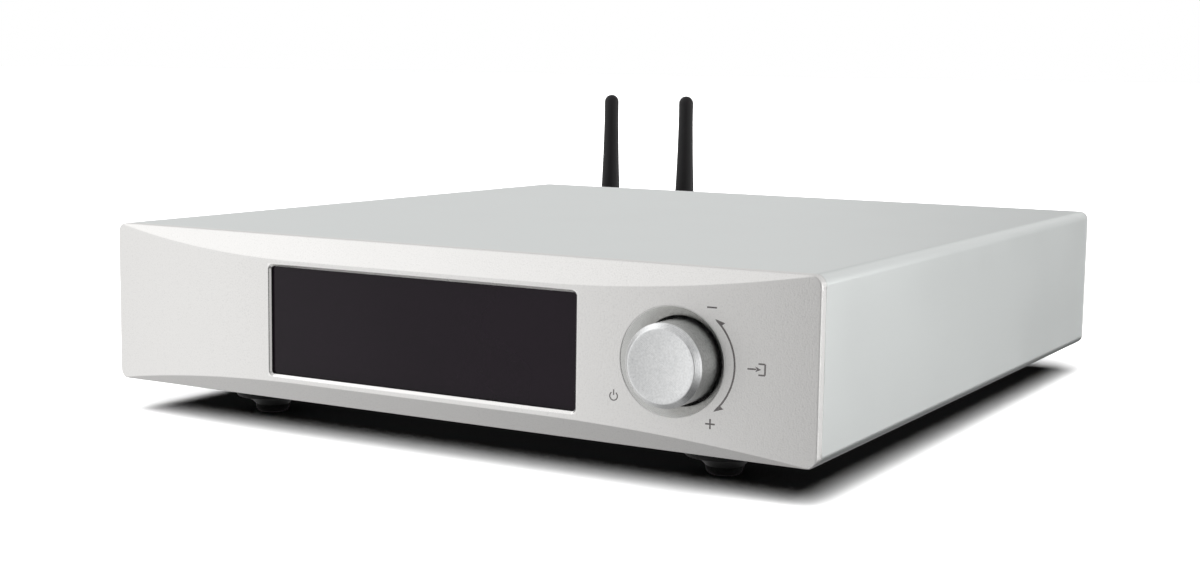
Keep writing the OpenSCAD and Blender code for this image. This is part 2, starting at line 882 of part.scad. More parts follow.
module display_board() {
    color("darkgreen") place() difference() {
        along_y(sub_back, sub_back + board_t) translate([0, mid_z])
            square([display_board_w, display_board_h], center = true);
        at_display_screws() rod_y(m3_r + thread_clear, sub_back - cut, sub_back + board_t + cut);
    }
}

// Knob and encoder

module control_knob() {
    color("whitesmoke") place() at_knob() difference() {
        union() {
            rod_y(knob_face_r, knob_front_y, knob_front_y + knob_chamfer_l, knob_r);
            rod_y(knob_r, knob_front_y + knob_chamfer_l, knob_back_y);
        }
        translate([0, knob_front_y + knob_hollow - knob_hollow_r, 0])
            sphere(knob_hollow_r, $fn = knob_hollow_fn);
        rod_y(shaft_r + running, knob_bore_y, knob_cavity_y + cut);
        rod_y(knob_cavity_r, knob_cavity_y, knob_back_y + cut);
        translate([0, grub_y, -knob_r - cut]) cylinder(r = m3_r + thread_clear, h = knob_r + cut);
    }
}

module knob_grub_screw() {
    color("dimgray") place() at_knob() translate([0, grub_y, -shaft_flat - grub_l]) difference() {
        cylinder(r = m3_r, h = grub_l);
        translate([0, 0, -cut]) cylinder(r = grub_socket_r, h = m3_socket_depth + cut, $fn = 6);
    }
}

module encoder_shaft() {
    color("silver") place() at_knob() difference() {
        rod_y(shaft_r, shaft_front_y, shaft_back_y);
        box([-shaft_r, shaft_front_y - cut, -shaft_r - cut], [shaft_r, knob_cavity_y, -shaft_flat]);
    }
}

module encoder_body() {
    color("darkslategray") place() at_knob() difference() {
        union() {
            along_y(sub_back, encoder_back_y) square(encoder_w, center = true);
            rod_y(neck_r, neck_front_y, sub_back + cut);
        }
        rod_y(shaft_r + running, neck_front_y - cut, encoder_back_y - encoder_back_t);
        rod_y(plunger_stem_r + running, encoder_back_y - encoder_back_t - cut, encoder_back_y + cut);
    }
}

module encoder_washer() {
    color("silver") place() at_knob() difference() {
        rod_y(washer_r, fascia_end_t - washer_t, fascia_end_t);
        rod_y(neck_r + thread_clear, fascia_end_t - washer_t - cut, fascia_end_t + cut);
    }
}

module encoder_nut() {
    back = fascia_end_t - washer_t;
    color("silver") place() at_knob() difference() {
        hex_y(encoder_nut_r, back - encoder_nut_t, back);
        rod_y(neck_r + thread_clear, back - encoder_nut_t - cut, back + cut);
    }
}

module encoder_board() {
    color("darkgreen") place() at_knob() difference() {
        along_y(encoder_back_y, encoder_back_y + board_t) square(encoder_board_w, center = true);
        rod_y(plunger_stem_r + fit, encoder_back_y - cut, encoder_back_y + board_t + cut);
    }
}

// Push plunger: slides with the shaft but does not turn
module switch_plunger() {
    color("ivory") place() at_knob() {
        rod_y(shaft_r - running, shaft_back_y, shaft_back_y + plunger_t);
        rod_y(plunger_stem_r, shaft_back_y, encoder_back_y + fit);
    }
}

// Antennas

module antenna_jacks() {
    color("goldenrod") place() at_antennas() {
        hex_y(jack_hex_r, rear_in - jack_hex_t, rear_in);
        rod_y(jack_r, rear_in - jack_hex_t, jack_end_y);
    }
}

module antenna_jack_nuts() {
    color("goldenrod") place() at_antennas() difference() {
        hex_y(jack_hex_r, body_d, body_d + jack_nut_t);
        rod_y(jack_r + thread_clear, body_d - cut, body_d + jack_nut_t + cut);
    }
}

module antenna_collars() {
    color("goldenrod") place() at_antennas() difference() {
        rod_y(collar_r, collar_y, collar_back_y);
        rod_y(jack_r + thread_clear, collar_y - cut, collar_back_y - collar_wall);
        rod_y(spigot_r + running, collar_back_y - collar_wall - cut, collar_back_y + cut);
    }
}

// Elbow: a spigot held in the collar, a neck and two ears round the pivot
module elbow(x) {
    head_y = collar_back_y - collar_wall - elbow_gap;
    neck_y = elbow_y + elbow_neck_t;
    beyond = elbow_r + cut;
    color("black") place() translate([x, 0, mid_z]) difference() {
        union() {
            rod_y(spigot_head_r, head_y - spigot_head_t, head_y);
            rod_y(spigot_r, head_y - spigot_head_t, neck_y);
            rod_y(elbow_r, elbow_y, neck_y);
            intersection() {
                rod_y(elbow_r, elbow_y, rear_reach + cut);
                union() {
                    translate([0, pivot_y, 0]) rod_x(elbow_r, 2 * elbow_r);
                    box([-elbow_r, elbow_y, -elbow_r], [elbow_r, pivot_y, elbow_r]);
                }
            }
        }
        box([-slot_half, neck_y, -beyond], [slot_half, rear_reach + cut, beyond]);
        translate([0, pivot_y, 0]) rod_x(pivot_r + running, 2 * beyond);
    }
}

module antenna_elbow_left() { elbow(antenna_left_x); }

module antenna_elbow_right() { elbow(antenna_right_x); }

module pivot_pin(x) {
    color("silver") place() translate([x, pivot_y, mid_z]) rod_x(pivot_r, pin_l);
}

module antenna_pin_left() { pivot_pin(antenna_left_x); }

module antenna_pin_right() { pivot_pin(antenna_right_x); }

// Antenna: a tongue between the ears, a flared foot, a slim rod and a domed tip
module whip(x) {
    color("black") place() translate([x, pivot_y, mid_z]) difference() {
        union() {
            rod_x(tongue_r, 2 * tongue_half);
            box([-tongue_half, -tongue_r, 0], [tongue_half, tongue_r, whip_start + cut]);
            rotate_extrude() polygon([
                [0, whip_start],
                [whip_foot_r, whip_start],
                [whip_r, whip_flare_l],
                [whip_tip_r, whip_l - whip_tip_r],
                [0, whip_l - whip_tip_r]
            ]);
            translate([0, 0, whip_l - whip_tip_r]) sphere(whip_tip_r);
        }
        rod_x(pivot_r + running, 2 * elbow_r);
    }
}

module antenna_whip_left() { whip(antenna_left_x); }

module antenna_whip_right() { whip(antenna_right_x); }

// Mains inlet and power switch

module inlet_socket_outline() {
    w = inlet_socket[0] / 2;
    h = inlet_socket[1] / 2;
    polygon([
        [-w, -h],
        [w, -h],
        [w, h - inlet_socket_corner],
        [w - inlet_socket_corner, h],
        [inlet_socket_corner - w, h],
        [-w, h - inlet_socket_corner]
    ]);
}

module mains_inlet() {
    face = body_d + inlet_flange_t;
    color("black") place() difference() {
        translate([inlet_x, 0, mid_z]) {
            along_y(body_d, face) round_rect(inlet_flange[0], inlet_flange[1], inlet_flange_r);
            along_y(body_d - inlet_body_d, body_d + cut) square(inlet_body, center = true);
        }
        translate([inlet_x, 0, mid_z]) along_y(face - inlet_socket_d, face + cut) inlet_socket_outline();
        translate([inlet_x, 0, mid_z]) blades();
        at_inlet_screws() translate([0, face, 0]) pointing_front() flush_hole(inlet_flange_t);
    }
}

module blades() {
    from = body_d - inlet_body_d - blade_tail;
    to = body_d + inlet_flange_t - inlet_socket_d + blade_l;
    for (p = blade_places) along_y(from, to) translate(p) square(blade, center = true);
}

module mains_blades() {
    color("silver") place() translate([inlet_x, 0, mid_z]) blades();
}

module switch_housing() {
    face = body_d + switch_bezel_t;
    color("black") place() translate([switch_x, 0, mid_z]) difference() {
        union() {
            along_y(body_d, face) round_rect(switch_bezel[0], switch_bezel[1], switch_bezel_r);
            along_y(body_d - switch_body_d, body_d + cut) square(switch_body, center = true);
        }
        along_y(face - switch_well_d, face + cut) square(switch_well, center = true);
        translate([0, switch_pivot_y, 0]) rod_x(rocker_pin_r + running, rocker_pin_l + 2 * running);
    }
}

// Rocker: two faces in a shallow V, tipped to its lower stop
module switch_rocker() {
    end = rocker_rise + rocker_half * tan(switch_tilt);
    color("black") place() translate([switch_x, switch_pivot_y, mid_z]) rotate([-switch_tilt, 0, 0]) {
        along_x(-rocker_w / 2, rocker_w / 2) polygon([
            [end, -rocker_half],
            [rocker_rise, 0],
            [end, rocker_half],
            [end - rocker_skirt, rocker_half],
            [rocker_heel[1], rocker_heel[0]],
            [rocker_heel[1], -rocker_heel[0]],
            [end - rocker_skirt, -rocker_half]
        ]);
        rod_x(rocker_pin_r, rocker_pin_l);
    }
}

// Signal jacks

module network_jack() {
    face = body_d + network_proud;
    ceiling = network_socket_z + network_socket_h;
    color("silver") place() translate([network_x, 0, board_top]) difference() {
        box([-network_w / 2, face - network_d, 0], [network_w / 2, face, network_h]);
        box(
            [-network_socket_w / 2, face - network_socket_d, network_socket_z],
            [network_socket_w / 2, face + cut, ceiling]
        );
        box(
            [-network_latch_w / 2, face - network_socket_d, network_socket_z - network_latch_h],
            [network_latch_w / 2, face + cut, network_socket_z + cut]
        );
    }
}

module network_contacts() {
    back = body_d + network_proud - network_socket_d;
    ceiling = network_socket_z + network_socket_h;
    first = -(network_contact_count - 1) / 2 * network_contact_pitch;
    color("gold") place() translate([network_x, back, board_top + ceiling])
        for (i = [0 : network_contact_count - 1])
            translate([first + i * network_contact_pitch - network_contact / 2, 0, -network_contact])
                cube([network_contact, network_contact_l, network_contact]);
}

module data_jack() {
    face = body_d + data_proud;
    color("silver") place() translate([data_x, 0, board_top]) difference() {
        box([-data_w / 2, face - data_d, 0], [data_w / 2, face, data_h]);
        for (z = data_socket_zs) translate([0, 0, z])
            box(
                [-data_socket_w / 2, face - data_socket_d, -data_socket_h / 2],
                [data_socket_w / 2, face + cut, data_socket_h / 2]
            );
    }
}

module data_tongues() {
    back = body_d + data_proud - data_socket_d;
    color("white") place() translate([data_x, back, board_top])
        for (z = data_socket_zs)
            translate([-data_tongue_w / 2, 0, z + data_tongue_rise - data_tongue_t / 2])
                cube([data_tongue_w, data_tongue_l, data_tongue_t]);
}

module optical_jack() {
    face = body_d + optical_proud;
    color("black") place() difference() {
        translate([optical_x, 0, board_top]) difference() {
            box([-optical_w / 2, face - optical_d, 0], [optical_w / 2, face, optical_h]);
            box(
                [-optical_socket_w / 2, face - optical_socket_d, optical_socket_z[0]],
                [optical_socket_w / 2, face + cut, optical_socket_z[1]]
            );
        }
        translate([optical_x, shutter_y, shutter_z])
            rod_x(shutter_pin_r + running, shutter_pin_l + 2 * running);
    }
}

// Shutter that swings in when a plug is pushed home
module optical_shutter() {
    color("dimgray") place() translate([optical_x, shutter_y, shutter_z]) {
        rod_x(shutter_barrel_r, shutter_w);
        rod_x(shutter_pin_r, shutter_pin_l);
        box([-shutter_w / 2, -shutter_t / 2, -shutter_l], [shutter_w / 2, shutter_t / 2, 0]);
    }
}

module audio_jacks() {
    y = body_d + audio_ring_t;
    color("goldenrod") place() at_audio() difference() {
        union() {
            rod_y(audio_flange_r, y, y + audio_flange_t);
            rod_y(audio_barrel_r, y, y + audio_barrel_l);
            rod_y(audio_tail_r, body_d - audio_tail_l, y + cut);
        }
        rod_y(audio_socket_r, y + audio_flange_t, y + audio_barrel_l + cut);
    }
}

module audio_rings() {
    color("white") place() at_audio() difference() {
        union() {
            rod_y(audio_ring_r, body_d, body_d + audio_ring_t);
            rod_y(audio_shoulder_r, rear_in, body_d + audio_ring_t / 2);
        }
        rod_y(audio_tail_r + thread_clear, rear_in - cut, body_d + audio_ring_t + cut);
    }
}

module audio_nuts() {
    color("goldenrod") place() at_audio() difference() {
        hex_y(audio_nut_r, rear_in - audio_nut_t, rear_in);
        rod_y(audio_tail_r + thread_clear, rear_in - audio_nut_t - cut, rear_in + cut);
    }
}

module trigger_jack() {
    face = body_d + trigger_flange_t;
    color("black") place() translate([trigger_x, 0, trigger_z]) difference() {
        union() {
            rod_y(trigger_flange_r, body_d, face);
            rod_y(trigger_bush_r, rear_in - cut, body_d + cut / 2);
            along_y(rear_in - trigger_body_l, rear_in) square(trigger_body_w, center = true);
        }
        rod_y(trigger_socket_r, rear_in - trigger_body_l + trigger_back_t, face + cut);
    }
}

// Boards and inner pieces

module main_board() {
    color("darkgreen") place() difference() {
        box([main_x[0], main_y[0], board_z], [main_x[1], main_y[1], board_top]);
        at_pillars() translate([0, 0, board_z - cut])
            cylinder(r = m3_r + thread_clear, h = board_t + 2 * cut);
    }
}

module power_board() {
    color("saddlebrown") place() difference() {
        box([power_x[0], power_y[0], board_z], [power_x[1], power_y[1], board_top]);
        at_pillars() translate([0, 0, board_z - cut])
            cylinder(r = m3_r + thread_clear, h = board_t + 2 * cut);
    }
}

// Pillars with a stud pressed into the base plate and a thread from above
module board_pillars() {
    color("goldenrod") place() at_pillars() difference() {
        union() {
            translate([0, 0, base_top]) cylinder(r = pillar_r, h = pillar_h, $fn = 6);
            translate([0, 0, wall]) cylinder(r = m3_r, h = base_t + cut);
        }
        translate([0, 0, board_top - board_screw_l])
            cylinder(r = m3_r + thread_clear, h = board_screw_l);
    }
}

// Streaming module: a small board on two header strips
module streaming_module() {
    half = module_w / 2;
    color("navy") place() translate([module_x, module_y, 0]) {
        box([-half, 0, module_top - module_t], [half, module_w, module_top]);
        for (y = [0, module_w - module_header_w])
            box([-half, y, board_top], [half, y + module_header_w, module_top - module_t / 2]);
    }
}

module module_shield() {
    y = module_y + module_w / 2;
    color("silver") place() translate([module_x, y, module_top]) difference() {
        linear_extrude(shield_h) square(shield_w, center = true);
        translate([0, 0, -cut]) linear_extrude(shield_h - shield_t + cut)
            square(shield_w - 2 * shield_t, center = true);
    }
}

// Ring transformer: a taped winding with rounded edges
module transformer() {
    thick = transformer_r - transformer_hole_r;
    color("gold") place() translate([transformer_x, transformer_y, base_top]) rotate_extrude()
        translate([transformer_hole_r + thick / 2, transformer_h / 2])
            round_rect(thick, transformer_h, transformer_round);
}

// Clamp plate and bolt that hold the transformer to the base plate
module transformer_clamp() {
    z = base_top + transformer_h;
    color("silver") place() translate([transformer_x, transformer_y, 0]) {
        difference() {
            translate([0, 0, z]) cylinder(r = clamp_r, h = clamp_t);
            translate([0, 0, z - cut])
                cylinder(r = clamp_bolt_r + thread_clear, h = clamp_t + 2 * cut);
        }
        translate([0, 0, z + clamp_t]) cylinder(r = clamp_head_r, h = clamp_head_h, $fn = 6);
        translate([0, 0, wall]) cylinder(r = clamp_bolt_r, h = z + clamp_t - wall + cut);
    }
}

module capacitors() {
    x = power_x[0] + capacitor_inset[0];
    y = power_y[0] + capacitor_inset[1];
    color("midnightblue") place()
        for (i = [0 : capacitor_count - 1])
            translate([x + i * capacitor_pitch, y, board_top])
                cylinder(r = capacitor_r, h = capacitor_h);
}

module heat_sink() {
    pitch = (sink_size[0] - sink_fin_t) / (sink_fins - 1);
    x = power_x[0] + sink_inset[0];
    y = power_y[0] + sink_inset[1];
    color("dimgray") place() translate([x, y, board_top]) {
        cube([sink_size[0], sink_back_t, sink_size[2]]);
        for (i = [0 : sink_fins - 1]) translate([i * pitch, 0, 0])
            cube([sink_fin_t, sink_size[1], sink_size[2]]);
    }
}

// Flat cable from the display to the main board
module display_ribbon() {
    start = sub_back + board_t;
    drop = ribbon_z - board_top;
    color("white") place() along_x(ribbon_x - ribbon_w / 2, ribbon_x + ribbon_w / 2) polygon([
        [start, ribbon_z],
        [main_y[0] - drop, ribbon_z],
        [main_y[0], board_top],
        [main_y[0] + ribbon_landing, board_top],
        [main_y[0] + ribbon_landing, board_top + ribbon_t],
        [main_y[0] + ribbon_t, board_top + ribbon_t],
        [main_y[0] - drop + ribbon_t, ribbon_z + ribbon_t],
        [start, ribbon_z + ribbon_t]
    ]);
}

// Thin coaxial leads from the antenna jacks down to the streaming module
module antenna_leads() {
    color("black") place() for (x = antenna_xs) {
        translate([x, 0, mid_z]) rod_y(lead_r, lead_y, rear_in - jack_hex_t);
        translate([x, lead_y, mid_z]) sphere(lead_r);
        translate([x, lead_y, module_top]) cylinder(r = lead_r, h = mid_z - module_top);
    }
}

// Leads from the mains inlet down to the power board
module mains_leads() {
    from = body_d - inlet_body_d - blade_tail;
    color("saddlebrown") place() for (i = [0, 1]) {
        x = inlet_x + blade_places[i][0];
        z = mid_z + blade_places[i][1];
        translate([x, 0, z]) rod_y(mains_lead_r, mains_lead_y, from);
        translate([x, mains_lead_y, z]) sphere(mains_lead_r);
        translate([x, mains_lead_y, board_top]) cylinder(r = mains_lead_r, h = z - board_top);
    }
}

front_fascia();
top_cover();
base_plate();
rear_panel();
front_subpanel();
panhead_screws();
countersunk_screws();
rear_panel_screws();
foot_cones();
foot_pads();
foot_screws();
window_gasket();
display_window();
display_glass();
display_frame();
display_board();
control_knob();
knob_grub_screw();
encoder_shaft();
encoder_body();
encoder_washer();
encoder_nut();
encoder_board();
switch_plunger();
antenna_jacks();
antenna_jack_nuts();
antenna_collars();
antenna_elbow_left();
antenna_elbow_right();
antenna_pin_left();
antenna_pin_right();
antenna_whip_left();
antenna_whip_right();
mains_inlet();
mains_blades();
switch_housing();
switch_rocker();
network_jack();
network_contacts();
data_jack();
data_tongues();
optical_jack();
optical_shutter();
audio_jacks();
audio_rings();
audio_nuts();
trigger_jack();
main_board();
power_board();
board_pillars();
streaming_module();
module_shield();
transformer();
transformer_clamp();
capacitors();
heat_sink();
display_ribbon();
antenna_leads();
mains_leads();
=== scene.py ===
# %% [markdown]
# # A half-width network music player
# The real object is a flat aluminium case with a bowed front panel, a dark window, one knob,
# four feet and two small aerials at the back. The imported CAD model is the frame: it gives every
# place and size, and this lesson dresses it.

# %% Load the frame
import json

import bmesh
import bpy
import numpy as np
from mathutils import Matrix, Vector

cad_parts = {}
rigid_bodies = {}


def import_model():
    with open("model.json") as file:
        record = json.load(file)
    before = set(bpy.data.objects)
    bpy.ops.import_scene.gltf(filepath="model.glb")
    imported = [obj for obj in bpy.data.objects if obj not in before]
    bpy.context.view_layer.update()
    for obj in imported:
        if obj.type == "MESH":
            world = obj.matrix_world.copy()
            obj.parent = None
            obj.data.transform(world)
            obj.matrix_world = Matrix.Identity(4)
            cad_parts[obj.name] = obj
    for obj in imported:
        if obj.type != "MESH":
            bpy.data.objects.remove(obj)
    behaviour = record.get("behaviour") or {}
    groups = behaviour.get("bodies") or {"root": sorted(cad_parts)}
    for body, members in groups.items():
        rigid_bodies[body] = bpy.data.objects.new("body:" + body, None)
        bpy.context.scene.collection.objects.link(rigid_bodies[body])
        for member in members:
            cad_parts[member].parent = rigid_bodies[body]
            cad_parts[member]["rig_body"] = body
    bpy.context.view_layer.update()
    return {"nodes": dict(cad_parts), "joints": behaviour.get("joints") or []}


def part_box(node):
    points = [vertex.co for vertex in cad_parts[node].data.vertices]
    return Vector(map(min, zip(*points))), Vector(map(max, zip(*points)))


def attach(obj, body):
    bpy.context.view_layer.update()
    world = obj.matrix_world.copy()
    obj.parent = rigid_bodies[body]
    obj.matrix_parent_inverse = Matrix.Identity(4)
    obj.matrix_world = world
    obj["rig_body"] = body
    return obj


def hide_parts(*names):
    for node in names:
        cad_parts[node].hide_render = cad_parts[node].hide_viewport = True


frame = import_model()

MM = 0.001
UP = (0, 0, 1)
WELD = 1e-7  # points that are closer than this, in metres, are one point
HAIR = 1e-9  # slack where two worked-out lengths are compared
scene = bpy.context.scene

# %% [markdown]
# ## Arrays into meshes
# Blender's own primitives could be pushed and pulled into shape, but a surface that is worked out
# as an array keeps its numbers in view. Every new piece here is a grid of points. A few small
# helpers join the points of a grid into faces, and put the arrays into a mesh.

# %% Grids and pieces
def corners_of(box):
    """A node's lowest and highest corner as two arrays."""
    return tuple(np.array(corner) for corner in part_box(box))


def grid_quads(rows, columns, around=False):
    """The faces of a grid: each point joins the next in its row and the two below them.
    With around, the last column also joins the first."""
    number = np.arange(rows * columns).reshape(rows, columns)
    if around:
        number = np.column_stack((number, number[:, :1]))
    cell = number[:-1, :-1], number[:-1, 1:], number[1:, 1:], number[1:, :-1]
    return np.stack(cell, -1).reshape(-1, 4)


def joined(grids):
    """Several grids of (points, quads) as one: each grid's faces count on from the grids before."""
    parts = [points.reshape(-1, 3) for points, _ in grids]
    starts = np.cumsum([0] + [len(part) for part in parts])
    quads = [faces + start for (_, faces), start in zip(grids, starts)]
    return np.concatenate(parts), np.concatenate(quads)


def merged(points, quads):
    """Equal points become one, and the faces follow."""
    key = np.round(points / WELD).astype(np.int64)
    _, first, number = np.unique(key, axis=0, return_index=True, return_inverse=True)
    return points[first], number.reshape(-1)[quads]


def welded(points, quads):
    """Merges equal points. A face with two equal corners becomes a triangle."""
    points, quads = merged(points, quads)
    twin = quads == np.roll(quads, -1, axis=1)
    whole = quads[twin.sum(1) == 0]
    pinched = twin.sum(1) == 1
    triangles = quads[pinched][~twin[pinched]].reshape(-1, 3)
    return points, whole.tolist() + triangles.tolist()


def make_piece(name, shells, body, material, stands_for=(), sharp=35):
    """One object from closed shells of (points, quads), smooth except at edges over sharp degrees."""
    points, faces = welded(*joined(shells))
    mesh = bpy.data.meshes.new(name)
    mesh.from_pydata(points, [], faces)
    work = bmesh.new()
    work.from_mesh(mesh)
    bmesh.ops.recalc_face_normals(work, faces=work.faces[:])
    open_edges = sum(not edge.is_manifold for edge in work.edges)
    work.to_mesh(mesh)
    work.free()
    return dress(name, mesh, body, material, stands_for, sharp, open_edges)


def dress(name, mesh, body, material, stands_for, sharp, open_edges):
    """Links the mesh as a piece that rides on a body and stands for CAD nodes."""
    mesh.shade_smooth()
    mesh.set_sharp_from_angle(angle=np.radians(sharp))
    mesh.materials.append(material)
    piece = bpy.data.objects.new(name, mesh)
    scene.collection.objects.link(piece)
    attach(piece, body)
    if stands_for:
        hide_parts(*stands_for)
    print(f"{name}: {len(mesh.vertices)} points, {len(mesh.polygons)} faces, {open_edges} open edges")
    return piece


def flatten(piece):
    """Lets the large faces set the shading, so that flats stay flat beside rounded edges."""
    crisp = piece.modifiers.new("crisp_flats", "WEIGHTED_NORMAL")
    crisp.mode = "FACE_AREA"
    crisp.weight = 50
    crisp.keep_sharp = True


# %% [markdown]
# ## Profiles and lathes
# Feet, knob and aerials are turned parts. A turned part is a profile, a list of radius and height,
# carried round an axis. Real corners are never razor sharp, so the profile's corners are rounded
# first: each corner gives way to a short curve.

# %% Turned parts
def rounded_profile(corner_list, radii, steps=6):
    """A polyline with each inner corner replaced by a quadratic curve that leaves and meets
    the sides at the given distance from the corner."""
    corner = np.array(corner_list, float)
    back = corner[:-2] - corner[1:-1]
    ahead = corner[2:] - corner[1:-1]
    reach = np.array(radii, float)[:, None]
    start = corner[1:-1] + reach * back / np.linalg.norm(back, axis=1)[:, None]
    end = corner[1:-1] + reach * ahead / np.linalg.norm(ahead, axis=1)[:, None]
    t = np.linspace(0, 1, steps)[None, :, None]
    bend = (1 - t) ** 2 * start[:, None] + 2 * t * (1 - t) * corner[1:-1, None] + t**2 * end[:, None]
    return np.concatenate((corner[:1], bend.reshape(-1, 2), corner[-1:]))


def lathe(profile, centre, axis, steps=96):
    """Each profile point (radius, height) goes round the axis: two directions square to the axis
    take radius times cosine and sine, and the axis takes the height."""
    axis = np.array(axis, float)
    side = np.roll(axis, 1)
    other = np.cross(axis, side)
    turn = np.linspace(0, 2 * np.pi, steps, endpoint=False)
    ring = np.cos(turn)[:, None] * side + np.sin(turn)[:, None] * other
    points = np.array(centre) + profile[:, None, :1] * ring[None] + profile[:, None, 1:] * axis
    return points, grid_quads(len(profile), steps, around=True)


# %% [markdown]
# ## Shader maths
# A material is a small graph of nodes. Drawing it by hand in the Shader Editor is fine for one,
# but here there are many, so we write them as sums. The class below wraps one output socket:
# `grain * 0.2 + 0.4` adds two Math nodes, and `node` adds any other kind.

# %% Sockets as values
class Wire:
    """One output socket. Arithmetic with it adds Math nodes to its node tree."""

    def __init__(self, tree, socket=None):
        self.tree, self.socket = tree, socket

    def node(self, kind, settings=None, inputs=None, out=0):
        """Adds a node: its settings first, then the values or wires of its sockets."""
        made = self.tree.nodes.new("ShaderNode" + kind)
        for name, value in (settings or {}).items():
            setattr(made, name, value)
        for name, value in (inputs or {}).items():
            if isinstance(value, Wire):
                self.tree.links.new(value.socket, made.inputs[name])
            else:
                made.inputs[name].default_value = value
        return Wire(self.tree, made.outputs[out])

    def math(self, operation, *values):
        """One Math node on the given values."""
        return self.node("Math", {"operation": operation}, dict(enumerate(values)))

    def __add__(self, other):
        return self.math("ADD", self, other)

    def __sub__(self, other):
        return self.math("SUBTRACT", self, other)

    def __rsub__(self, other):
        return self.math("SUBTRACT", other, self)

    def __mul__(self, other):
        return self.math("MULTIPLY", self, other)

    __radd__, __rmul__ = __add__, __mul__


# %% [markdown]
# ## The words of a finish
# A finish is talked about in a few words: its grain, how a value blends from one colour to
# another, and how deep its surface is. Each word is a function on wires, and `finish` collects
# what a surface does into one material. Constants go straight to the shader's sockets.

# %% Grain, blend, relief
def grain(place, size, detail=2.0):
    """Noise whose blobs are about size across, from 0 to 1."""
    return place.node("TexNoise", {}, {"Vector": place, "Scale": 1 / size, "Detail": detail})


def blend(amount, low, high):
    """A colour that goes from low to high as amount goes from 0 to 1. A Mix node takes its two
    colours at sockets 6 and 7, and gives the result at output 2."""
    low, high = (side if isinstance(side, Wire) else (*side, 1) for side in (low, high))
    return amount.node("Mix", {"data_type": "RGBA"}, {0: amount, 6: low, 7: high}, 2)


def between(value, low, high):
    """0 below low, 1 above high, and a smooth step between."""
    settings = {"interpolation_type": "SMOOTHSTEP"}
    return value.node("MapRange", settings, {"Value": value, "From Min": low, "From Max": high})


def relief(height, depth, strength=1.0):
    """A bumped normal from a height between 0 and 1, depth metres high."""
    return height.node("Bump", {}, {"Strength": strength, "Distance": depth, "Height": height})


def axis_of(place, letter):
    """One coordinate of a place."""
    return place.node("SeparateXYZ", {}, {0: place}, letter)


def finish(name, paint, **constants):
    """A material. constants set the shader's sockets, with _ for a space, and paint takes the
    place on the piece and returns what varies over the surface."""
    material = bpy.data.materials.new(name)
    material.use_nodes = True
    tree = material.node_tree
    shader = tree.nodes["Principled BSDF"]
    for socket, value in constants.items():
        shader.inputs[socket.replace("_", " ")].default_value = value
    place = Wire(tree).node("TexCoord", out="Object")
    for socket, wire in paint(place).items():
        tree.links.new(wire.socket, shader.inputs[socket])
    return material


# %% [markdown]
# ## Metal finishes
# The front panel is bead-blasted and clear anodised: a fine sparkle, no brushing. The cover and
# back are the same metal with a smoother satin. Turned parts show faint rings. All of them are
# full metals, so their brightness is the light that they reflect, and the grain goes into colour,
# roughness and a shallow bump.

# %% Blasted, satin, plated
def blasted(name, colour, rough, sparkle, size, depth, kept=None):
    """Metal of fine grains: colour and roughness follow the grains, with broad faint clouds.
    kept gives, for a place, how much of the grain is left there: turning takes it off."""

    def paint(place):
        remaining = kept(place) if kept else 1.0
        fine = (grain(place, size, 3.0) - 0.5) * remaining + 0.5
        cloud = grain(place, 40 * MM, 1.0)
        shade = fine * sparkle + cloud * 0.05 + (0.975 - sparkle / 2)
        return {
            "Base Color": blend(shade, (0.0, 0.0, 0.0), colour),
            "Roughness": fine * 0.16 + cloud * 0.04 + (remaining * 0.18 + (rough - 0.28)),
            "Normal": relief(fine, depth),
        }

    return finish(name, paint, Metallic=1.0)


def plated(name, colour, rough):
    """Plated or plain small metal: clouds of handling marks and a fine tool grain."""

    def paint(place):
        fine = grain(place, 0.25 * MM, 2.0)
        cloud = grain(place, 4 * MM, 2.0)
        return {
            "Base Color": blend(cloud, tuple(0.82 * c for c in colour), colour),
            "Roughness": fine * 0.12 + cloud * 0.1 + (rough - 0.11),
            "Normal": relief(fine, 0.01 * MM, 0.4),
        }

    return finish(name, paint, Metallic=1.0)


satin = {"sparkle": 0.05, "size": 0.3 * MM, "depth": 0.012 * MM}
cover_metal = blasted("satin_cover", (0.855, 0.883, 0.872), 0.38, **satin)
rear_metal = blasted("satin_rear", (0.84, 0.85, 0.845), 0.44, **satin)
base_metal = plated("zinc_base", (0.70, 0.71, 0.71), 0.42)
steel = plated("zinc_steel", (0.68, 0.68, 0.69), 0.34)
nickel = plated("bright_nickel", (0.80, 0.79, 0.77), 0.22)
gold = plated("gold_plate", (0.86, 0.64, 0.28), 0.2)
brass = plated("turned_brass", (0.75, 0.58, 0.27), 0.3)
tin = plated("tinned_shield", (0.72, 0.72, 0.71), 0.3)
black_screw = plated("black_oxide", (0.035, 0.035, 0.036), 0.38)
print("finishes so far", len(bpy.data.materials))

# %% [markdown]
# ## Plastics, rubber, boards
# Moulded plastic has a spark-eroded texture: shallow pits under half a millimetre. Rubber is
# rougher and a little dusty. A circuit board shows its copper lines through the lacquer, as a
# faint band pattern. One function covers each family, so that the finishes stay related.

# %% Moulded, rubber, board
def moulded(name, colour, rough, size=0.3 * MM, **constants):
    """Moulded plastic: pits of the given size, with a slight flow mark over a few millimetres."""

    def paint(place):
        pits = grain(place, size, 2.0)
        flow = grain(place, 9 * MM, 1.0)
        pale = tuple(min(1.0, 1.25 * c + 0.004) for c in colour)
        return {
            "Base Color": blend(flow * 0.6 + pits * 0.4, colour, pale),
            "Roughness": pits * 0.14 + flow * 0.08 + (rough - 0.11),
            "Normal": relief(pits, 0.025 * MM, 0.5),
        }

    return finish(name, paint, **constants)


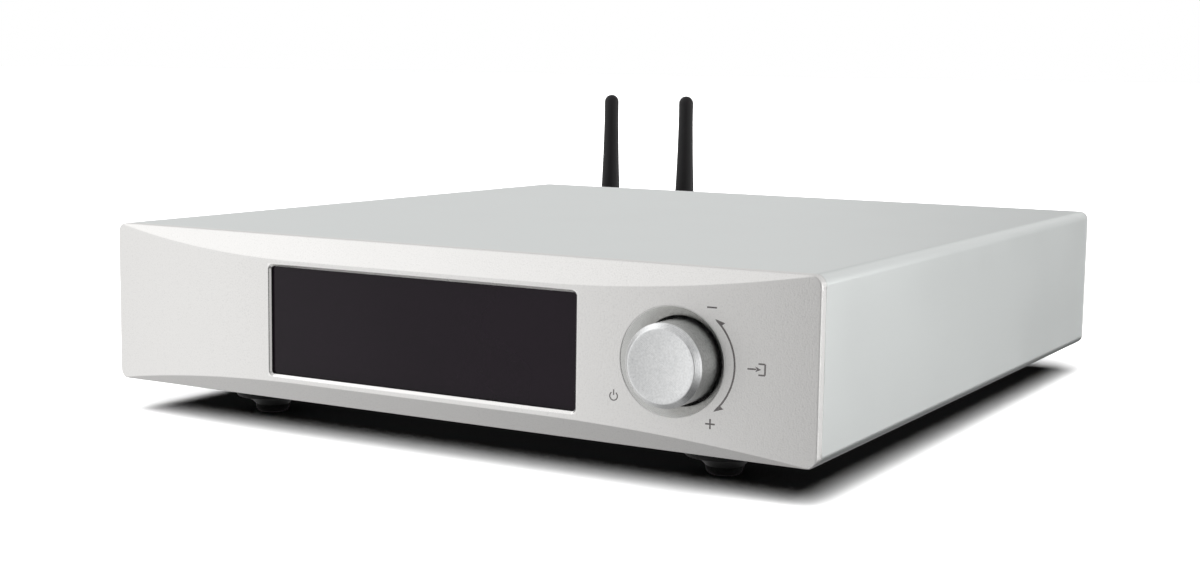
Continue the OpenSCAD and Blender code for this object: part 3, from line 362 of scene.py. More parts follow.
def board(name, lacquer, copper):
    """A circuit board: bands of covered copper a millimetre wide, bent by a slow noise."""

    def paint(place):
        bent = grain(place, 12 * MM, 1.0)
        bands = {"Vector": place, "Scale": 160.0, "Distortion": 3.0}
        lines = place.node("TexWave", {"bands_direction": "DIAGONAL"}, bands, 1)
        track = between(lines + bent * 0.3, 0.75, 0.85)
        return {
            "Base Color": blend(track, lacquer, copper),
            "Roughness": bent * 0.1 + 0.3,
            "Normal": relief(track, 0.03 * MM, 0.6),
        }

    return finish(name, paint)


aerial_black = moulded("aerial_plastic", (0.012, 0.011, 0.012), 0.5, Specular_IOR_Level=0.3)
foot_black = moulded("foot_plastic", (0.006, 0.006, 0.006), 0.5, Specular_IOR_Level=0.12)
pad_black = moulded("foot_rubber", (0.006, 0.006, 0.006), 0.8, 0.5 * MM, Specular_IOR_Level=0.08)
socket_black = moulded("socket_plastic", (0.02, 0.02, 0.021), 0.42)
rocker_black = moulded("rocker_plastic", (0.024, 0.024, 0.025), 0.34)
shutter_grey = moulded("shutter_plastic", (0.06, 0.06, 0.065), 0.4)
ivory = moulded("ivory_plastic", (0.74, 0.73, 0.67), 0.4)
sleeve_navy = moulded("sleeve_film", (0.02, 0.03, 0.09), 0.3)
tape_amber = moulded("winding_tape", (0.62, 0.42, 0.06), 0.36)
lead_black = moulded("lead_black", (0.02, 0.02, 0.02), 0.45)
sink_black = moulded("sink_anodised", (0.05, 0.05, 0.052), 0.5)
green_board = board("green_board", (0.01, 0.09, 0.03), (0.03, 0.17, 0.06))
blue_board = board("blue_board", (0.01, 0.02, 0.09), (0.02, 0.05, 0.17))
print("finishes so far", len(bpy.data.materials))

# %% [markdown]
# ## The dark window and the printed ink
# The window is smoked acrylic, polished: what we see is a faint reflection on black, with the
# finest dust. Ink is a thin grey film that is a little uneven.

# %% Acrylic, ink, wires
def acrylic_paint(place):
    """Nearly even black: dust specks lift the roughness where a fine noise peaks."""
    dust = between(grain(place, 0.5 * MM, 3.0), 0.66, 0.8)
    cloud = grain(place, 25 * MM, 1.0)
    return {
        "Base Color": blend(dust * 0.3 + cloud * 0.4, (0.006, 0.003, 0.006), (0.011, 0.006, 0.011)),
        "Roughness": dust * 0.12 + cloud * 0.05 + 0.1,
    }


def ink(name, colour):
    """Printed ink: coverage varies a little with a fine noise."""

    def paint(place):
        cover = grain(place, 0.2 * MM, 2.0)
        return {
            "Base Color": blend(cover, colour, tuple(1.3 * c for c in colour)),
            "Roughness": cover * 0.2 + 0.45,
        }

    return finish(name, paint)


core_split = 89.5 * MM, 90.5 * MM
column_split = 25 * MM, 26 * MM
row_split = 34 * MM, 36 * MM


def lead_paint(place):
    """Two mains cores: brown on one side of the inlet's centre, blue on the other."""
    side = between(axis_of(place, "X"), *core_split)
    scuff = grain(place, 1 * MM, 2.0)
    return {
        "Base Color": blend(side, (0.16, 0.06, 0.02), (0.02, 0.08, 0.3)),
        "Roughness": scuff * 0.2 + 0.35,
    }


def ring_paint(place):
    """Collars of the three sockets: the right column is black, the left one white above and
    red below, by the place on the back panel."""
    right = between(axis_of(place, "X"), *column_split)
    upper = between(axis_of(place, "Z"), *row_split)
    pits = grain(place, 0.3 * MM, 2.0)
    pair = blend(upper, (0.42, 0.012, 0.01), (0.7, 0.7, 0.68))
    return {
        "Base Color": blend(right, pair, (0.02, 0.02, 0.02)),
        "Roughness": pits * 0.15 + 0.35,
        "Normal": relief(pits, 0.02 * MM, 0.5),
    }


acrylic = finish("smoked_acrylic", acrylic_paint, Specular_IOR_Level=0.2)
dark_glass = finish("dark_glass", acrylic_paint)
grey_ink = ink("grey_ink", (0.085, 0.078, 0.078))
white_ink = ink("white_ink", (0.6, 0.6, 0.59))
mains_cores = finish("mains_cores", lead_paint)
ring_colours = finish("ring_colours", ring_paint)
print("finishes so far", len(bpy.data.materials))

# %% [markdown]
# ## The front panel
# This is the piece that the eye goes to. It is flat in the middle and falls away to both ends in
# a large arc, its top and bottom are cut at 45 degrees, a shallow cone sinks round the knob, and
# the window has a small chamfer. In a modeller one would extrude, chamfer and bore. Here one
# formula gives the height of the face at every place: each cut is a height of its own, and the
# face is the lowest of them. A smooth minimum rounds every edge where two cuts meet.

# %% The panel's own sizes
low, high = corners_of("front_fascia")
half_width, bottom, top, back = high[0], low[2], high[2], high[1]
middle, half_height = (bottom + top) / 2, (top - bottom) / 2
end_thickness = 3.0 * MM
end_plane = back - end_thickness
bow_rise = end_plane - low[1]
flat_half = 40 * MM
bow_run = half_width - flat_half
bow_radius = (bow_run**2 + bow_rise**2) / (2 * bow_rise)
corner_radius = 3 * MM
window_half = np.array((51.35, 15.75)) * MM
window_corner = 1.0 * MM
window_chamfer = 0.8 * MM
window_seat, seat_margin = 5.4 * MM, 1.0 * MM
knob_low, knob_high = corners_of("control_knob")
knob_x, knob_z = (knob_low[0] + knob_high[0]) / 2, (knob_low[2] + knob_high[2]) / 2
knob_radius = (knob_high[0] - knob_low[0]) / 2
knob_gap = 0.7 * MM
hole_radius = knob_radius + knob_gap
dish_depth = 2.8 * MM
crease_round, dish_round, lip_round = 0.12 * MM, 0.2 * MM, 0.08 * MM
outline_round, hole_round, rear_round = 0.35 * MM, 0.25 * MM, 0.25 * MM
bow_slope = (knob_x - flat_half) / bow_radius


def still_blasted(place):
    """1 on the face, and 0 where a cutter went over it later: in the cone, whose rim is a circle
    drawn out by the bow's slope, and on the window's chamfer."""
    flat = place.node("VectorMath", {"operation": "MULTIPLY"}, {0: place, 1: (1, 0, 1)})
    away = place.node("VectorMath", {"operation": "DISTANCE"}, {0: flat, 1: (knob_x, 0, knob_z)}, 1)
    drawn_out = away + (axis_of(place, "X") - knob_x) * bow_slope
    rim = hole_radius + dish_depth
    past_side = place.math("ABSOLUTE", axis_of(place, "X")) - window_half[0]
    past_end = place.math("ABSOLUTE", axis_of(place, "Z") - middle) - window_half[1]
    lip = place.math("MAXIMUM", past_side, past_end)
    off_lip = between(lip, window_chamfer - 0.1 * MM, window_chamfer + 0.05 * MM)
    return between(drawn_out, rim - 0.35 * MM, rim + 0.05 * MM) * off_lip


beads = {"sparkle": 0.36, "size": 0.42 * MM, "depth": 0.06 * MM, "kept": still_blasted}
panel_metal = blasted("blasted_panel", (0.875, 0.866, 0.852), 0.45, **beads)
print("bow radius", round(bow_radius / MM, 1), "mm, rise", round(bow_rise / MM, 2), "mm")


# %% The height of the face
def soft_min(a, b, width):
    """The smaller of two heights. Within width of each other a parabola joins them."""
    t = np.clip(0.5 + 0.5 * (b - a) / width, 0, 1)
    return b + (a - b) * t - width * t * (1 - t)


def rounded_over(distance, radius):
    """How far a rounded edge has fallen at a distance in from it: a quarter circle."""
    past = np.clip(radius - distance, 0, radius)
    return radius - np.sqrt(radius**2 - past**2)


def outside(x, z, half, radius):
    """Distance outwards from a rectangle with round corners, negative inside it."""
    across, up = np.abs(x) - half[0] + radius, np.abs(z) - half[1] + radius
    out = np.hypot(np.maximum(across, 0), np.maximum(up, 0))
    return out + np.minimum(np.maximum(across, up), 0) - radius


def bow(x):
    """Flat in the middle, then a circle's arc that falls to 0 at the ends."""
    past = np.maximum(np.abs(x) - flat_half, 0)
    return bow_rise - bow_radius + np.sqrt(bow_radius**2 - past**2)


def face_height(x, z):
    """The lowest of the bow, both 45 degree cuts, the cone round the knob and the window's
    chamfer, less the rounding along the outline and round the knob's hole."""
    height = soft_min(bow(x), z - bottom, crease_round)
    height = soft_min(height, top - z, crease_round)
    ring = np.hypot(x - knob_x, z - knob_z) - hole_radius
    height = soft_min(height, bow(knob_x) - dish_depth + ring, dish_round)
    rim = outside(x, z - middle, window_half, window_corner)
    height = soft_min(height, bow_rise - window_chamfer + rim, lip_round)
    edge = -outside(x, z - middle, (half_width, half_height), corner_radius)
    return height - rounded_over(edge, outline_round) - rounded_over(ring, hole_round)


below_window = np.array((middle - window_half[1] - 2 * window_chamfer,))
print("face below the window", face_height(np.zeros(1), below_window) / MM, "mm high")

# %% [markdown]
# ## Laying out the panel's grid
# A formula still needs good places to be sampled at. Columns run along the panel, closer together
# at the ends. Rows come in three lots: a strip for each 45 degree cut, with rows crowded at its
# edges, and a band between. Round the window and the knob the band's cells give way to rings.

# %% Columns and rows
near_edge = np.array((0, 0.015, 0.05, 0.1, 0.17, 0.25, 0.35)) * MM
ends = half_width - np.concatenate((near_edge, np.array((0.6, 1.0, 1.5, 2.1)) * MM))
ring_from = 58 * MM
ring_to = 2 * knob_x - ring_from
outer = np.linspace(ring_to, half_width - corner_radius, 9)
over_knob = np.linspace(ring_from, ring_to, 33)
straight = window_half[0] - window_corner
over_corner = np.linspace(straight, ring_from, 8)
over_window = np.linspace(0, straight, 14)
half_columns = np.unique(np.concatenate((over_window, over_corner, over_knob, outer, ends)))
columns = np.concatenate((-half_columns[:0:-1], half_columns))
past_crease, least_strip = 0.35 * MM, 0.8 * MM
crowd_width, crowd_share = 0.7 * MM, 0.6
crowding = np.array((1, 0.8, 0.65, 0.5, 0.35, 0.2, 0))[:, None]


def low_edge(x):
    """The outline's lower edge: straight, then a quarter circle at each corner."""
    past = np.clip(np.abs(x) - (half_width - corner_radius), 0, corner_radius)
    return bottom + corner_radius - np.sqrt(corner_radius**2 - past**2)


def strip_top(x):
    """Just above the crease between the lower cut and the face, and never too near the edge."""
    return np.maximum(bottom + bow(x) + past_crease, low_edge(x) + least_strip)


def strip_rows(x):
    """Rows from the lower edge to the strip's top: the rounded edge, the cut, the crease."""
    start, room = low_edge(x), strip_top(x) - low_edge(x) - near_edge[-1]
    crowd = np.minimum(crowd_width, crowd_share * room)
    cut = np.linspace(0, 1, 6)[1:-1, None] * (room - crowd) + near_edge[-1]
    crease = room + near_edge[-1] - crowd * crowding
    edge = near_edge[:, None] + np.zeros_like(x)
    return start + np.concatenate((edge, cut, crease))


side_straight = (window_half[1] - window_corner) / (middle - strip_top(ring_from))
half_band = np.concatenate((np.linspace(0, side_straight, 11), np.linspace(side_straight, 1, 6)[1:]))
band = np.concatenate((-half_band[:0:-1], half_band))


def band_rows(x):
    """Rows of the band: a share of the height between the two strips."""
    return middle + band[:, None] * (middle - strip_top(x))


print(len(columns), "columns,", len(strip_rows(columns)), "rows in a strip,", len(band), "in the band")


# %% [markdown]
# The window's ring starts on the window's own edge and ends on the cells round it, point for
# point, so that nothing has to be stitched. The knob's ring does the same with circles.

# %% Rings round the window and the knob
def loop_round(x):
    """The points round a block of cells: along the bottom, up, back along the top, and down."""
    left, right = np.full_like(band, x[0]), np.full_like(band, x[-1])
    across = np.concatenate((x[:-1], right[:-1], x[:0:-1], left[:0:-1]))
    rows = band_rows(x)
    up = np.concatenate((rows[0, :-1], rows[:-1, -1], rows[-1, :0:-1], rows[:0:-1, 0]))
    return across, up


def window_loop(across, up, offset):
    """Each outer point's partner on the window's edge moved out by offset: straight across on
    the sides, and on the corner's arc by its share of the way to the block's corner."""
    reach_x, reach_z = window_half - window_corner
    far_z = middle - strip_top(ring_from)
    dx, dz = np.abs(across), np.abs(up - middle)
    on_end = np.isclose(dx, ring_from) & (dz < far_z - HAIR)
    share_x = np.clip((dx - reach_x) / (ring_from - reach_x), 0, 1)
    share_z = np.clip((dz - reach_z) / (far_z - reach_z), 0, 1)
    angle = np.where(on_end, np.pi / 2 - share_z * np.pi / 4, share_x * np.pi / 4)
    base_x = np.where(on_end, reach_x, np.minimum(dx, reach_x))
    base_z = np.where(on_end, np.minimum(dz, reach_z), reach_z)
    out = window_corner + offset
    loop_x = np.sign(across) * (base_x + out * np.sin(angle))
    loop_z = middle + np.sign(up - middle) * (base_z + out * np.cos(angle))
    return loop_x, loop_z


def rings(inner, loop):
    """Rings from the inner loops on to the outer one, the last stretch in even shares."""
    share = np.linspace(0, 1, 6)[1:, None]
    last = inner[-1]
    blend_on = [last[i] + share * (loop[i] - last[i]) for i in (0, 1)]
    return [np.concatenate((np.array([ring[i] for ring in inner]), blend_on[i])) for i in (0, 1)]


window_columns = columns[np.abs(columns) <= ring_from + HAIR]
window_outer = loop_round(window_columns)
offsets = np.array((0, 0.2, 0.45, 0.65, 0.72, 0.8, 0.88, 0.95, 1.1)) * MM
window_rings = rings([window_loop(*window_outer, offset) for offset in offsets], window_outer)

knob_columns = columns[(columns >= ring_from - HAIR) & (columns <= ring_to + HAIR)]
knob_outer = loop_round(knob_columns)
turn = np.arctan2(knob_outer[1] - knob_z, knob_outer[0] - knob_x)
rim = np.full_like(turn, hole_radius + dish_depth)
for _ in range(12):  # the rim lies where the cone meets the bow, found by trying again from the last guess
    rim = hole_radius + dish_depth + bow(knob_x + rim * np.cos(turn)) - bow(knob_x)
crest = rim + np.array((-0.4, -0.2, -0.1, 0, 0.1, 0.2, 0.4))[:, None] * MM
cone_start = hole_radius + hole_round
cone = np.linspace(0, 1, 5)[1:-1, None] * (crest[0] - cone_start) + cone_start
lip = hole_radius + np.array((0, 0.01, 0.04, 0.09, 0.16, 0.25))[:, None] * MM + np.zeros_like(turn)
circles = np.concatenate((lip, cone, crest))
knob_inner = [(knob_x + circle * np.cos(turn), knob_z + circle * np.sin(turn)) for circle in circles]
knob_rings = rings(knob_inner, knob_outer)
print("rings", window_rings[0].shape, knob_rings[0].shape)


# %% [markdown]
# Now the patches are put together. The back of the panel is the same layout of points on the
# back plane, and walls join the two wherever a face has no neighbour: round the outline, in the
# window and in the knob's hole.

# %% Close the panel
def panel_sheet():
    """All patches as one flat sheet: points (x, 0, z) and faces."""
    strip = np.broadcast_to(columns, strip_rows(columns).shape), strip_rows(columns)
    patches = [(*strip, False), (strip[0], bottom + top - strip[1], False)]
    for first, last in ((-half_width, -ring_from), (ring_to, half_width)):
        x = columns[(columns >= first - HAIR) & (columns <= last + HAIR)]
        patches.append((np.broadcast_to(x, (len(band), len(x))), band_rows(x), False))
    patches += [(*window_rings, True), (*knob_rings, True)]
    return joined([(np.stack((x, 0 * x, z), -1), grid_quads(*x.shape, around)) for x, z, around in patches])


def closed_panel():
    """Face and back share their layout, and each open edge of the face gets a wall."""
    points, quads = merged(*panel_sheet())
    x, z = points[:, 0], points[:, 2]
    corner = points[quads][..., [0, 2]]
    one, two = corner[:, 2] - corner[:, 0], corner[:, 3] - corner[:, 1]
    area = one[:, 0] * two[:, 1] - one[:, 1] * two[:, 0]
    quads = np.where(area[:, None] > 0, quads, quads[:, ::-1])
    front = np.column_stack((x, end_plane - face_height(x, z), z))
    edge = -outside(x, z - middle, (half_width, half_height), corner_radius)
    in_window = outside(x, z - middle, window_half, window_corner) < seat_margin
    behind = np.where(in_window, end_plane - window_seat, back - rounded_over(edge, rear_round))
    rear = np.column_stack((x, behind, z))
    sides = np.stack((quads, np.roll(quads, -1, 1)), -1).reshape(-1, 2)
    code = np.sort(sides, 1)
    _, where, count = np.unique(code, axis=0, return_index=True, return_counts=True)
    rim_sides = sides[where[count == 1]]
    n = len(points)
    walls = np.column_stack((rim_sides[:, ::-1], rim_sides + n))
    return np.concatenate((front, rear)), np.concatenate((quads, quads[:, ::-1] + n, walls))


flatten(make_piece(
    "front_panel", [closed_panel()], "chassis", panel_metal, ["front_fascia"], sharp=40
))

# %% [markdown]
# ## The knob
# A solid aluminium knob with a slightly hollow face, a bright chamfer and a straight barrel. It
# is a turned part, so the lathe makes it: face, chamfer, barrel, and then back inside round the
# shaft so that the shell is closed. Its metal shows the turning as very faint rings.

# %% Knob
knob_front, knob_back = knob_low[1], knob_high[1]
knob_chamfer = 1.4 * MM
face_radius = knob_radius - knob_chamfer
# painted shade: the knob's base colour darkens from 1.5 to 1.8 mm behind its face
barrel_shade_from, barrel_shade_full = knob_front + 1.5 * MM, knob_front + 1.8 * MM


def knob_paint(place):
    """Fine grain plus rings about the knob's axis, as a cutting tool leaves them. Behind the chamfer
    the barrel's base colour is darker: painted shade for the dark surroundings that it reflects."""
    settings = {"wave_type": "RINGS", "rings_direction": "SPHERICAL"}
    centred = place.node("Mapping", {}, {"Vector": place, "Location": (-knob_x, -knob_front, -knob_z)})
    turned = place.node("TexWave", settings, {"Vector": centred, "Scale": 900.0, "Distortion": 0.4}, 1)
    fine = grain(place, 0.6 * MM, 2.0)
    # painted shade mask: 0 on the face and chamfer, 1 on the barrel
    barrel_shade = between(axis_of(place, "Y"), barrel_shade_from, barrel_shade_full)
    bright = blend(fine * 0.8 + turned * 0.2, (0.55, 0.565, 0.57), (1.0, 1.0, 1.0))
    # the barrel's colour, with painted shade in it
    shaded_barrel_colour = blend(fine, (0.39, 0.4, 0.4), (0.9, 0.91, 0.9))
    return {
        "Base Color": blend(barrel_shade, bright, shaded_barrel_colour),
        "Roughness": fine * 0.1 + turned * 0.05 + 0.24,
        "Normal": relief(turned * 0.25 + fine * 0.75, 0.03 * MM),
    }


knob_metal = finish("turned_knob", knob_paint, Metallic=1.0)
hollow_radius, hollow_depth = face_radius - 0.3 * MM, 0.7 * MM
knob_length = knob_back - knob_front
way = np.linspace(0, 1, 13)
hollow = np.column_stack((way * hollow_radius, hollow_depth * (1 - way**2)))
cavity_radius, cavity_at = 8.2 * MM, knob_length - 6 * MM
bore_radius, bore_at = 3.05 * MM, 2.6 * MM
outside_in = (
    (hollow_radius, 0),
    (face_radius, 0),
    (knob_radius, knob_chamfer),
    (knob_radius, knob_length),
    (cavity_radius, knob_length),
    (cavity_radius, cavity_at),
    (bore_radius, cavity_at),
    (bore_radius, bore_at),
    (0, bore_at),
)
breaks = np.array((0.18, 0.2, 0.3, 0.3, 0.3, 0.3, 0.2)) * MM
profile = np.concatenate((hollow[:-1], rounded_profile(outside_in, breaks)))
turned_knob = lathe(profile, (knob_x, knob_front, knob_z), (0, 1, 0), 128)
make_piece("volume_knob", [turned_knob], "knob", knob_metal, ["control_knob"], sharp=40)
print("knob radius", round(knob_radius / MM, 2), "length", round(knob_length / MM, 2))

# %% [markdown]
# ## The printed marks
# Beside the knob are a minus, a plus, an arc with two arrow heads, a standby sign and a small
# input sign. A decal would need a picture, so each stroke is a thin closed ribbon that follows
# the face: two edges, lifted a hair above the metal and sunk a hair below it.

# %% Ribbons on a surface
line, thin_line, arc_width = 0.4 * MM, 0.3 * MM, 0.46 * MM


def ribbon(left, right, surface):
    """A closed strip between two edges: the same two edges above and below the surface, with
    the corners joined round and the ends pinched shut, unless the strip ends where it began."""
    above, below = 0.03 * MM, -0.05 * MM
    loop = [surface(left, above), surface(right, above), surface(right, below), surface(left, below)]
    points = np.stack(loop, 1)
    if not np.allclose(left[0], left[-1]):
        ends = [end.mean(1, keepdims=True) + 0 * end for end in (points[:1], points[-1:])]
        points = np.concatenate((ends[0], points, ends[1]))
    return points.reshape(-1, 3), grid_quads(len(points), 4, around=True)


def stroke(points, width):
    """The two edges of a line: each point moved half the width to either side."""
    points = np.array(points, float)
    along = np.gradient(points, axis=0)
    side = np.column_stack((-along[:, 1], along[:, 0])) / np.linalg.norm(along, axis=1)[:, None]
    return points + side * width / 2, points - side * width / 2


def arc_line(centre, radius, first, last, steps=48):
    """Points on a circle from one angle to another, in degrees."""
    angle = np.radians(np.linspace(first, last, steps))
    return np.array(centre) + radius * np.column_stack((np.cos(angle), np.sin(angle)))


def on_face(points, lift):
    """A place (x, z) on the panel's face, lifted off it."""
    x, z = points[:, 0], points[:, 1]
    return np.column_stack((x, end_plane - face_height(x, z) - lift, z))


def arrow_head(tip, direction, length, width):
    """A swept head: one edge runs from a barb to the tip, the other from the notch to a barb."""
    tip, ahead = np.array(tip), np.array(direction) / np.linalg.norm(direction)
    side = np.array((-ahead[1], ahead[0])) * width / 2
    barb, notch = tip - ahead * length, tip - ahead * length * 0.72
    return np.array((barb + side, tip)), np.array((notch, barb - side))


def barbed_end(centre, radius, tip_angle, length_angle, barb):
    """The end of a turning arrow: from the tip back, one edge keeps to the inside of the arc, and
    the other swings outwards to barb, as the way to the power 1.2."""
    way = np.linspace(1, 0, 9)
    angle = np.radians(tip_angle - length_angle * way)
    ray = np.column_stack((np.cos(angle), np.sin(angle)))
    inner = radius - arc_width / 2 * np.minimum(1, 3 * way + 0.1)
    outer = radius + barb * way**1.2
    return np.array(centre) + outer[:, None] * ray, np.array(centre) + inner[:, None] * ray


# %% Marks by the knob
sign_places = np.array(((89.7, 38.95), (89.8, 9.3), (63.0, 14.0), (101.9, 24.2))) * MM + (0, bottom)
minus_at, plus_at, standby, source = sign_places
half = 1.3 * MM
dash = np.array(((-half, 0), (half, 0)))
marks = [stroke(minus_at + dash, line), stroke(plus_at + dash, line)]
upright = np.array((((0, -half), (0, -line / 2)), ((0, line / 2), (0, half))))
marks += [stroke(plus_at + part, line) for part in upright]
axis_at, arc_radius, arc_stop = np.array((knob_x, knob_z)), 15.75 * MM, 45
head_tip, head_angle, head_barb = 48.5, 8.5, 1.25 * MM
marks.append(stroke(arc_line(axis_at, arc_radius, -arc_stop, arc_stop), arc_width))
marks += [barbed_end(axis_at, arc_radius, head_tip * way, head_angle * way, head_barb) for way in (-1, 1)]
standby_radius, standby_bar = 1.1 * MM, np.array(((0, 0.3), (0, 1.75))) * MM
marks.append(stroke(arc_line(standby, standby_radius, 125, 415), thin_line))
marks.append(stroke(standby + standby_bar, thin_line))
bracket = np.array(((0.2, 1.4), (1.9, 1.4), (1.9, -1.4), (0.2, -1.4))) * MM
marks += [stroke(source + bracket[[i, i + 1]], line) for i in range(3)]
arrow_shaft, arrow_tip = np.array(((-2.6, 0), (-0.4, 0))) * MM, np.array((0.9, 0)) * MM
marks.append(stroke(source + arrow_shaft, line))
marks.append(arrow_head(source + arrow_tip, (1, 0), length=1.5 * MM, width=1.4 * MM))
strips = [ribbon(*pair, on_face) for pair in marks]
make_piece("knob_marks", strips, "chassis", grey_ink)
print("strokes", len(marks))

# %% [markdown]
# ## Feet
# Four turned feet: a wide collar under the case, a cove down to a narrow stem, and a rubber pad.
# One profile and four lathes make each of the two pieces.

# %% Feet
cone_low, cone_high = corners_of("foot_cones")
pad_top = corners_of("foot_pads")[1][2]
collar_radius, stem_radius, pad_radius = 11.0 * MM, 5.2 * MM, 5.2 * MM
foot_x = cone_high[0] - collar_radius
foot_y = np.array((cone_low[1] + collar_radius, cone_high[1] - collar_radius))
foot_places = [(x, y) for x in (-foot_x, foot_x) for y in foot_y]
flare_rise, flare_radius, pad_round = 2.9 * MM, 8 * MM, 1.8 * MM
flare_low, flare_high = cone_low[2], cone_low[2] + flare_rise
chord = np.array((collar_radius - stem_radius, flare_high - flare_low))
out_share = np.sqrt((flare_radius / np.linalg.norm(chord)) ** 2 - 0.25)
flare_ends = np.array(((collar_radius, flare_high), (stem_radius, flare_low)))
flare_centre = flare_ends.sum(0) / 2 + out_share * np.array((chord[1], -chord[0]))
spokes = flare_ends - flare_centre
swing = np.linspace(*np.arctan2(spokes[:, 1], spokes[:, 0]), 16)
flare = flare_centre + flare_radius * np.column_stack((np.cos(swing), np.sin(swing)))
collar_corners = (0, cone_high[2]), (collar_radius, cone_high[2]), (collar_radius, flare_high), flare[3]
collar = rounded_profile(collar_corners, np.array((0.3, 0.35)) * MM)
cone_profile = np.concatenate((collar, flare[4:], ((0, cone_low[2]),)))
dome = np.linspace(0, np.pi / 2, 8)
pad_edge_radius = pad_radius - pad_round + pad_round * np.cos(dome)
pad_edge = np.column_stack((pad_edge_radius, pad_round - pad_round * np.sin(dome)))
pad_profile = np.concatenate((((0, pad_top), (pad_radius, pad_top)), pad_edge, ((0, 0),)))


def at_each_foot(profile):
    """The profile turned about an upright at each of the four places."""
    return [lathe(profile, (x, y, 0), UP, 72) for x, y in foot_places]


make_piece("feet", at_each_foot(cone_profile), "chassis", foot_black, ["foot_cones"])
make_piece("foot_rubbers", at_each_foot(pad_profile), "chassis", pad_black, ["foot_pads"])
print("feet at", np.round(np.array(foot_places) / MM, 1).tolist())

# %% [markdown]
# ## Aerials
# Each aerial is a tapering rod with a round top on a flat tongue that is held in a forked elbow.
# The rod is turned. The tongue is a round-ended outline carried sideways, drawn in a little at
# both cheeks so that its edges catch the light. Behind it sits a knurled collar. In the photograph
# the cover shows no image of the aerials, so reflections leave them out.

# %% Rods and collars
rod_corners = np.array(((0, 4.6), (4.2, 4.6), (4.2, 15), (3.3, 38), (3.0, 52))) * MM
rod_bends = np.array((0.4, 5, 6)) * MM
tip_radius = rod_corners[-1, 0]
tongue_radius, tongue_half, tongue_rise = 3.95 * MM, 2.08 * MM, 5.0 * MM


def tongue(pivot, radius, half_thickness, rise):
    """An outline of a half circle below the pivot and straight sides above it, carried along x
    and shrunk to the pivot at both ends."""
    angle = np.linspace(np.pi, 2 * np.pi, 25)
    arc = np.column_stack((radius * np.cos(angle), radius * np.sin(angle)))
    outline = np.concatenate((((-radius, rise),), arc, ((radius, rise),)))
    station = half_thickness - np.array((0, 0, 0.04, 0.12, 0.25)) * MM
    inset = 1 - np.array((radius, 0.25 * MM, 0.12 * MM, 0.04 * MM, 0)) / radius
    x = np.concatenate((-station, station[::-1]))
    scale = np.concatenate((inset, inset[::-1]))
    y, z = scale[:, None] * outline[:, 0], scale[:, None] * outline[:, 1]
    points = np.stack((x[:, None] + 0 * y, y, z), -1)
    return np.array(pivot) + points, grid_quads(len(x), len(outline), around=True)


def aerial(side):
    """The rod: foot, taper in two slopes and a dome, turned about the pivot's upright."""
    pin_low, pin_high = corners_of(f"antenna_pin_{side}")
    pivot = (pin_low + pin_high) / 2
    reach = corners_of(f"antenna_whip_{side}")[1][2] - pivot[2]
    round_top = np.linspace(0, np.pi / 2, 10)
    head_height = reach - tip_radius + tip_radius * np.sin(round_top)
    head = np.column_stack((tip_radius * np.cos(round_top), head_height))
    profile = np.concatenate((rounded_profile(rod_corners, rod_bends), head))
    shells = [lathe(profile, pivot, UP, 64), tongue(pivot, tongue_radius, tongue_half, tongue_rise)]
    body, node = f"antenna_rod_{side}", f"antenna_whip_{side}"
    return make_piece(f"aerial_{side}", shells, body, aerial_black, [node])


for side in ("left", "right"):
    aerial(side).visible_glossy = False

knurl_radius, knurl_depth, knurl_teeth = 4.6 * MM, 0.28 * MM, 36


def knurled_collar(centre, length):
    """A sleeve whose radius dips in a fine zigzag round it, fading out towards both ends. The
    first ring again at the end closes the bore."""
    along = np.array((0, 0, 0.02, 0.06, 0.12, 0.2, 0.35, 0.5, 0.65, 0.8, 0.88, 0.94, 0.98, 1, 1))
    base = np.array((3.2, 4.1, 4.25, 4.4, 4.55, 4.6, 4.6, 4.6, 4.6, 4.6, 4.55, 4.4, 4.25, 4.1, 3.2)) * MM
    turn = np.linspace(0, 2 * np.pi, 180, endpoint=False)
    zigzag = np.abs((turn * knurl_teeth / (2 * np.pi)) % 1 - 0.5) * 2
    depth = knurl_depth * np.clip((0.5 - np.abs(along - 0.5)) * 6 - 0.4, 0, 1)
    radius = base[:, None] - depth[:, None] * zigzag
    y = (along[:, None] - 0.5) * length + 0 * turn
    points = np.array(centre) + np.stack((radius * np.cos(turn), y, radius * np.sin(turn)), -1)
    rows = np.concatenate((points, points[:1]))
    return rows, grid_quads(len(rows), len(turn), around=True)


ring_low, ring_high = corners_of("antenna_collars")
ring_y, ring_length = (ring_low[1] + ring_high[1]) / 2, ring_high[1] - ring_low[1]
ring_z = (ring_low[2] + ring_high[2]) / 2
ring_x = (ring_low[0] + knurl_radius, ring_high[0] - knurl_radius)
sleeves = [knurled_collar((x, ring_y, ring_z), ring_length) for x in ring_x]
make_piece("knurled_collars", sleeves, "chassis", gold, ["antenna_collars"], sharp=60)

# %% [markdown]
# ## Softening the CAD solids
# The rest of the case and the sockets already have their right shape in the frame. What they
# lack is the tiny broken edge that every real part has and that catches the light. The CAD mesh
# itself stays untouched: a copy has its loose triangles merged, flat neighbours joined, and gets
# a Bevel modifier on its sharp edges.

# %% Copies with broken edges
merge_within, flat_within, bevel_over = 1e-6, np.radians(0.2), np.radians(30)


def softened(node, width, material):
    """A merged copy of a CAD node whose edges over 30 degrees are bevelled by width."""
    source = frame["nodes"][node]
    work = bmesh.new()
    work.from_mesh(source.data)
    bmesh.ops.remove_doubles(work, verts=work.verts[:], dist=merge_within)
    bmesh.ops.dissolve_limit(work, angle_limit=flat_within, verts=work.verts[:], edges=work.edges[:])
    open_edges = sum(not edge.is_manifold for edge in work.edges)
    mesh = bpy.data.meshes.new(node + "_dressed")
    work.to_mesh(mesh)
    work.free()
    piece = dress(node + "_dressed", mesh, source["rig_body"], material, [node], 180, open_edges)
    bevel = piece.modifiers.new("broken_edges", "BEVEL")
    bevel.width, bevel.segments = width, 2
    bevel.limit_method, bevel.angle_limit = "ANGLE", bevel_over
    flatten(piece)


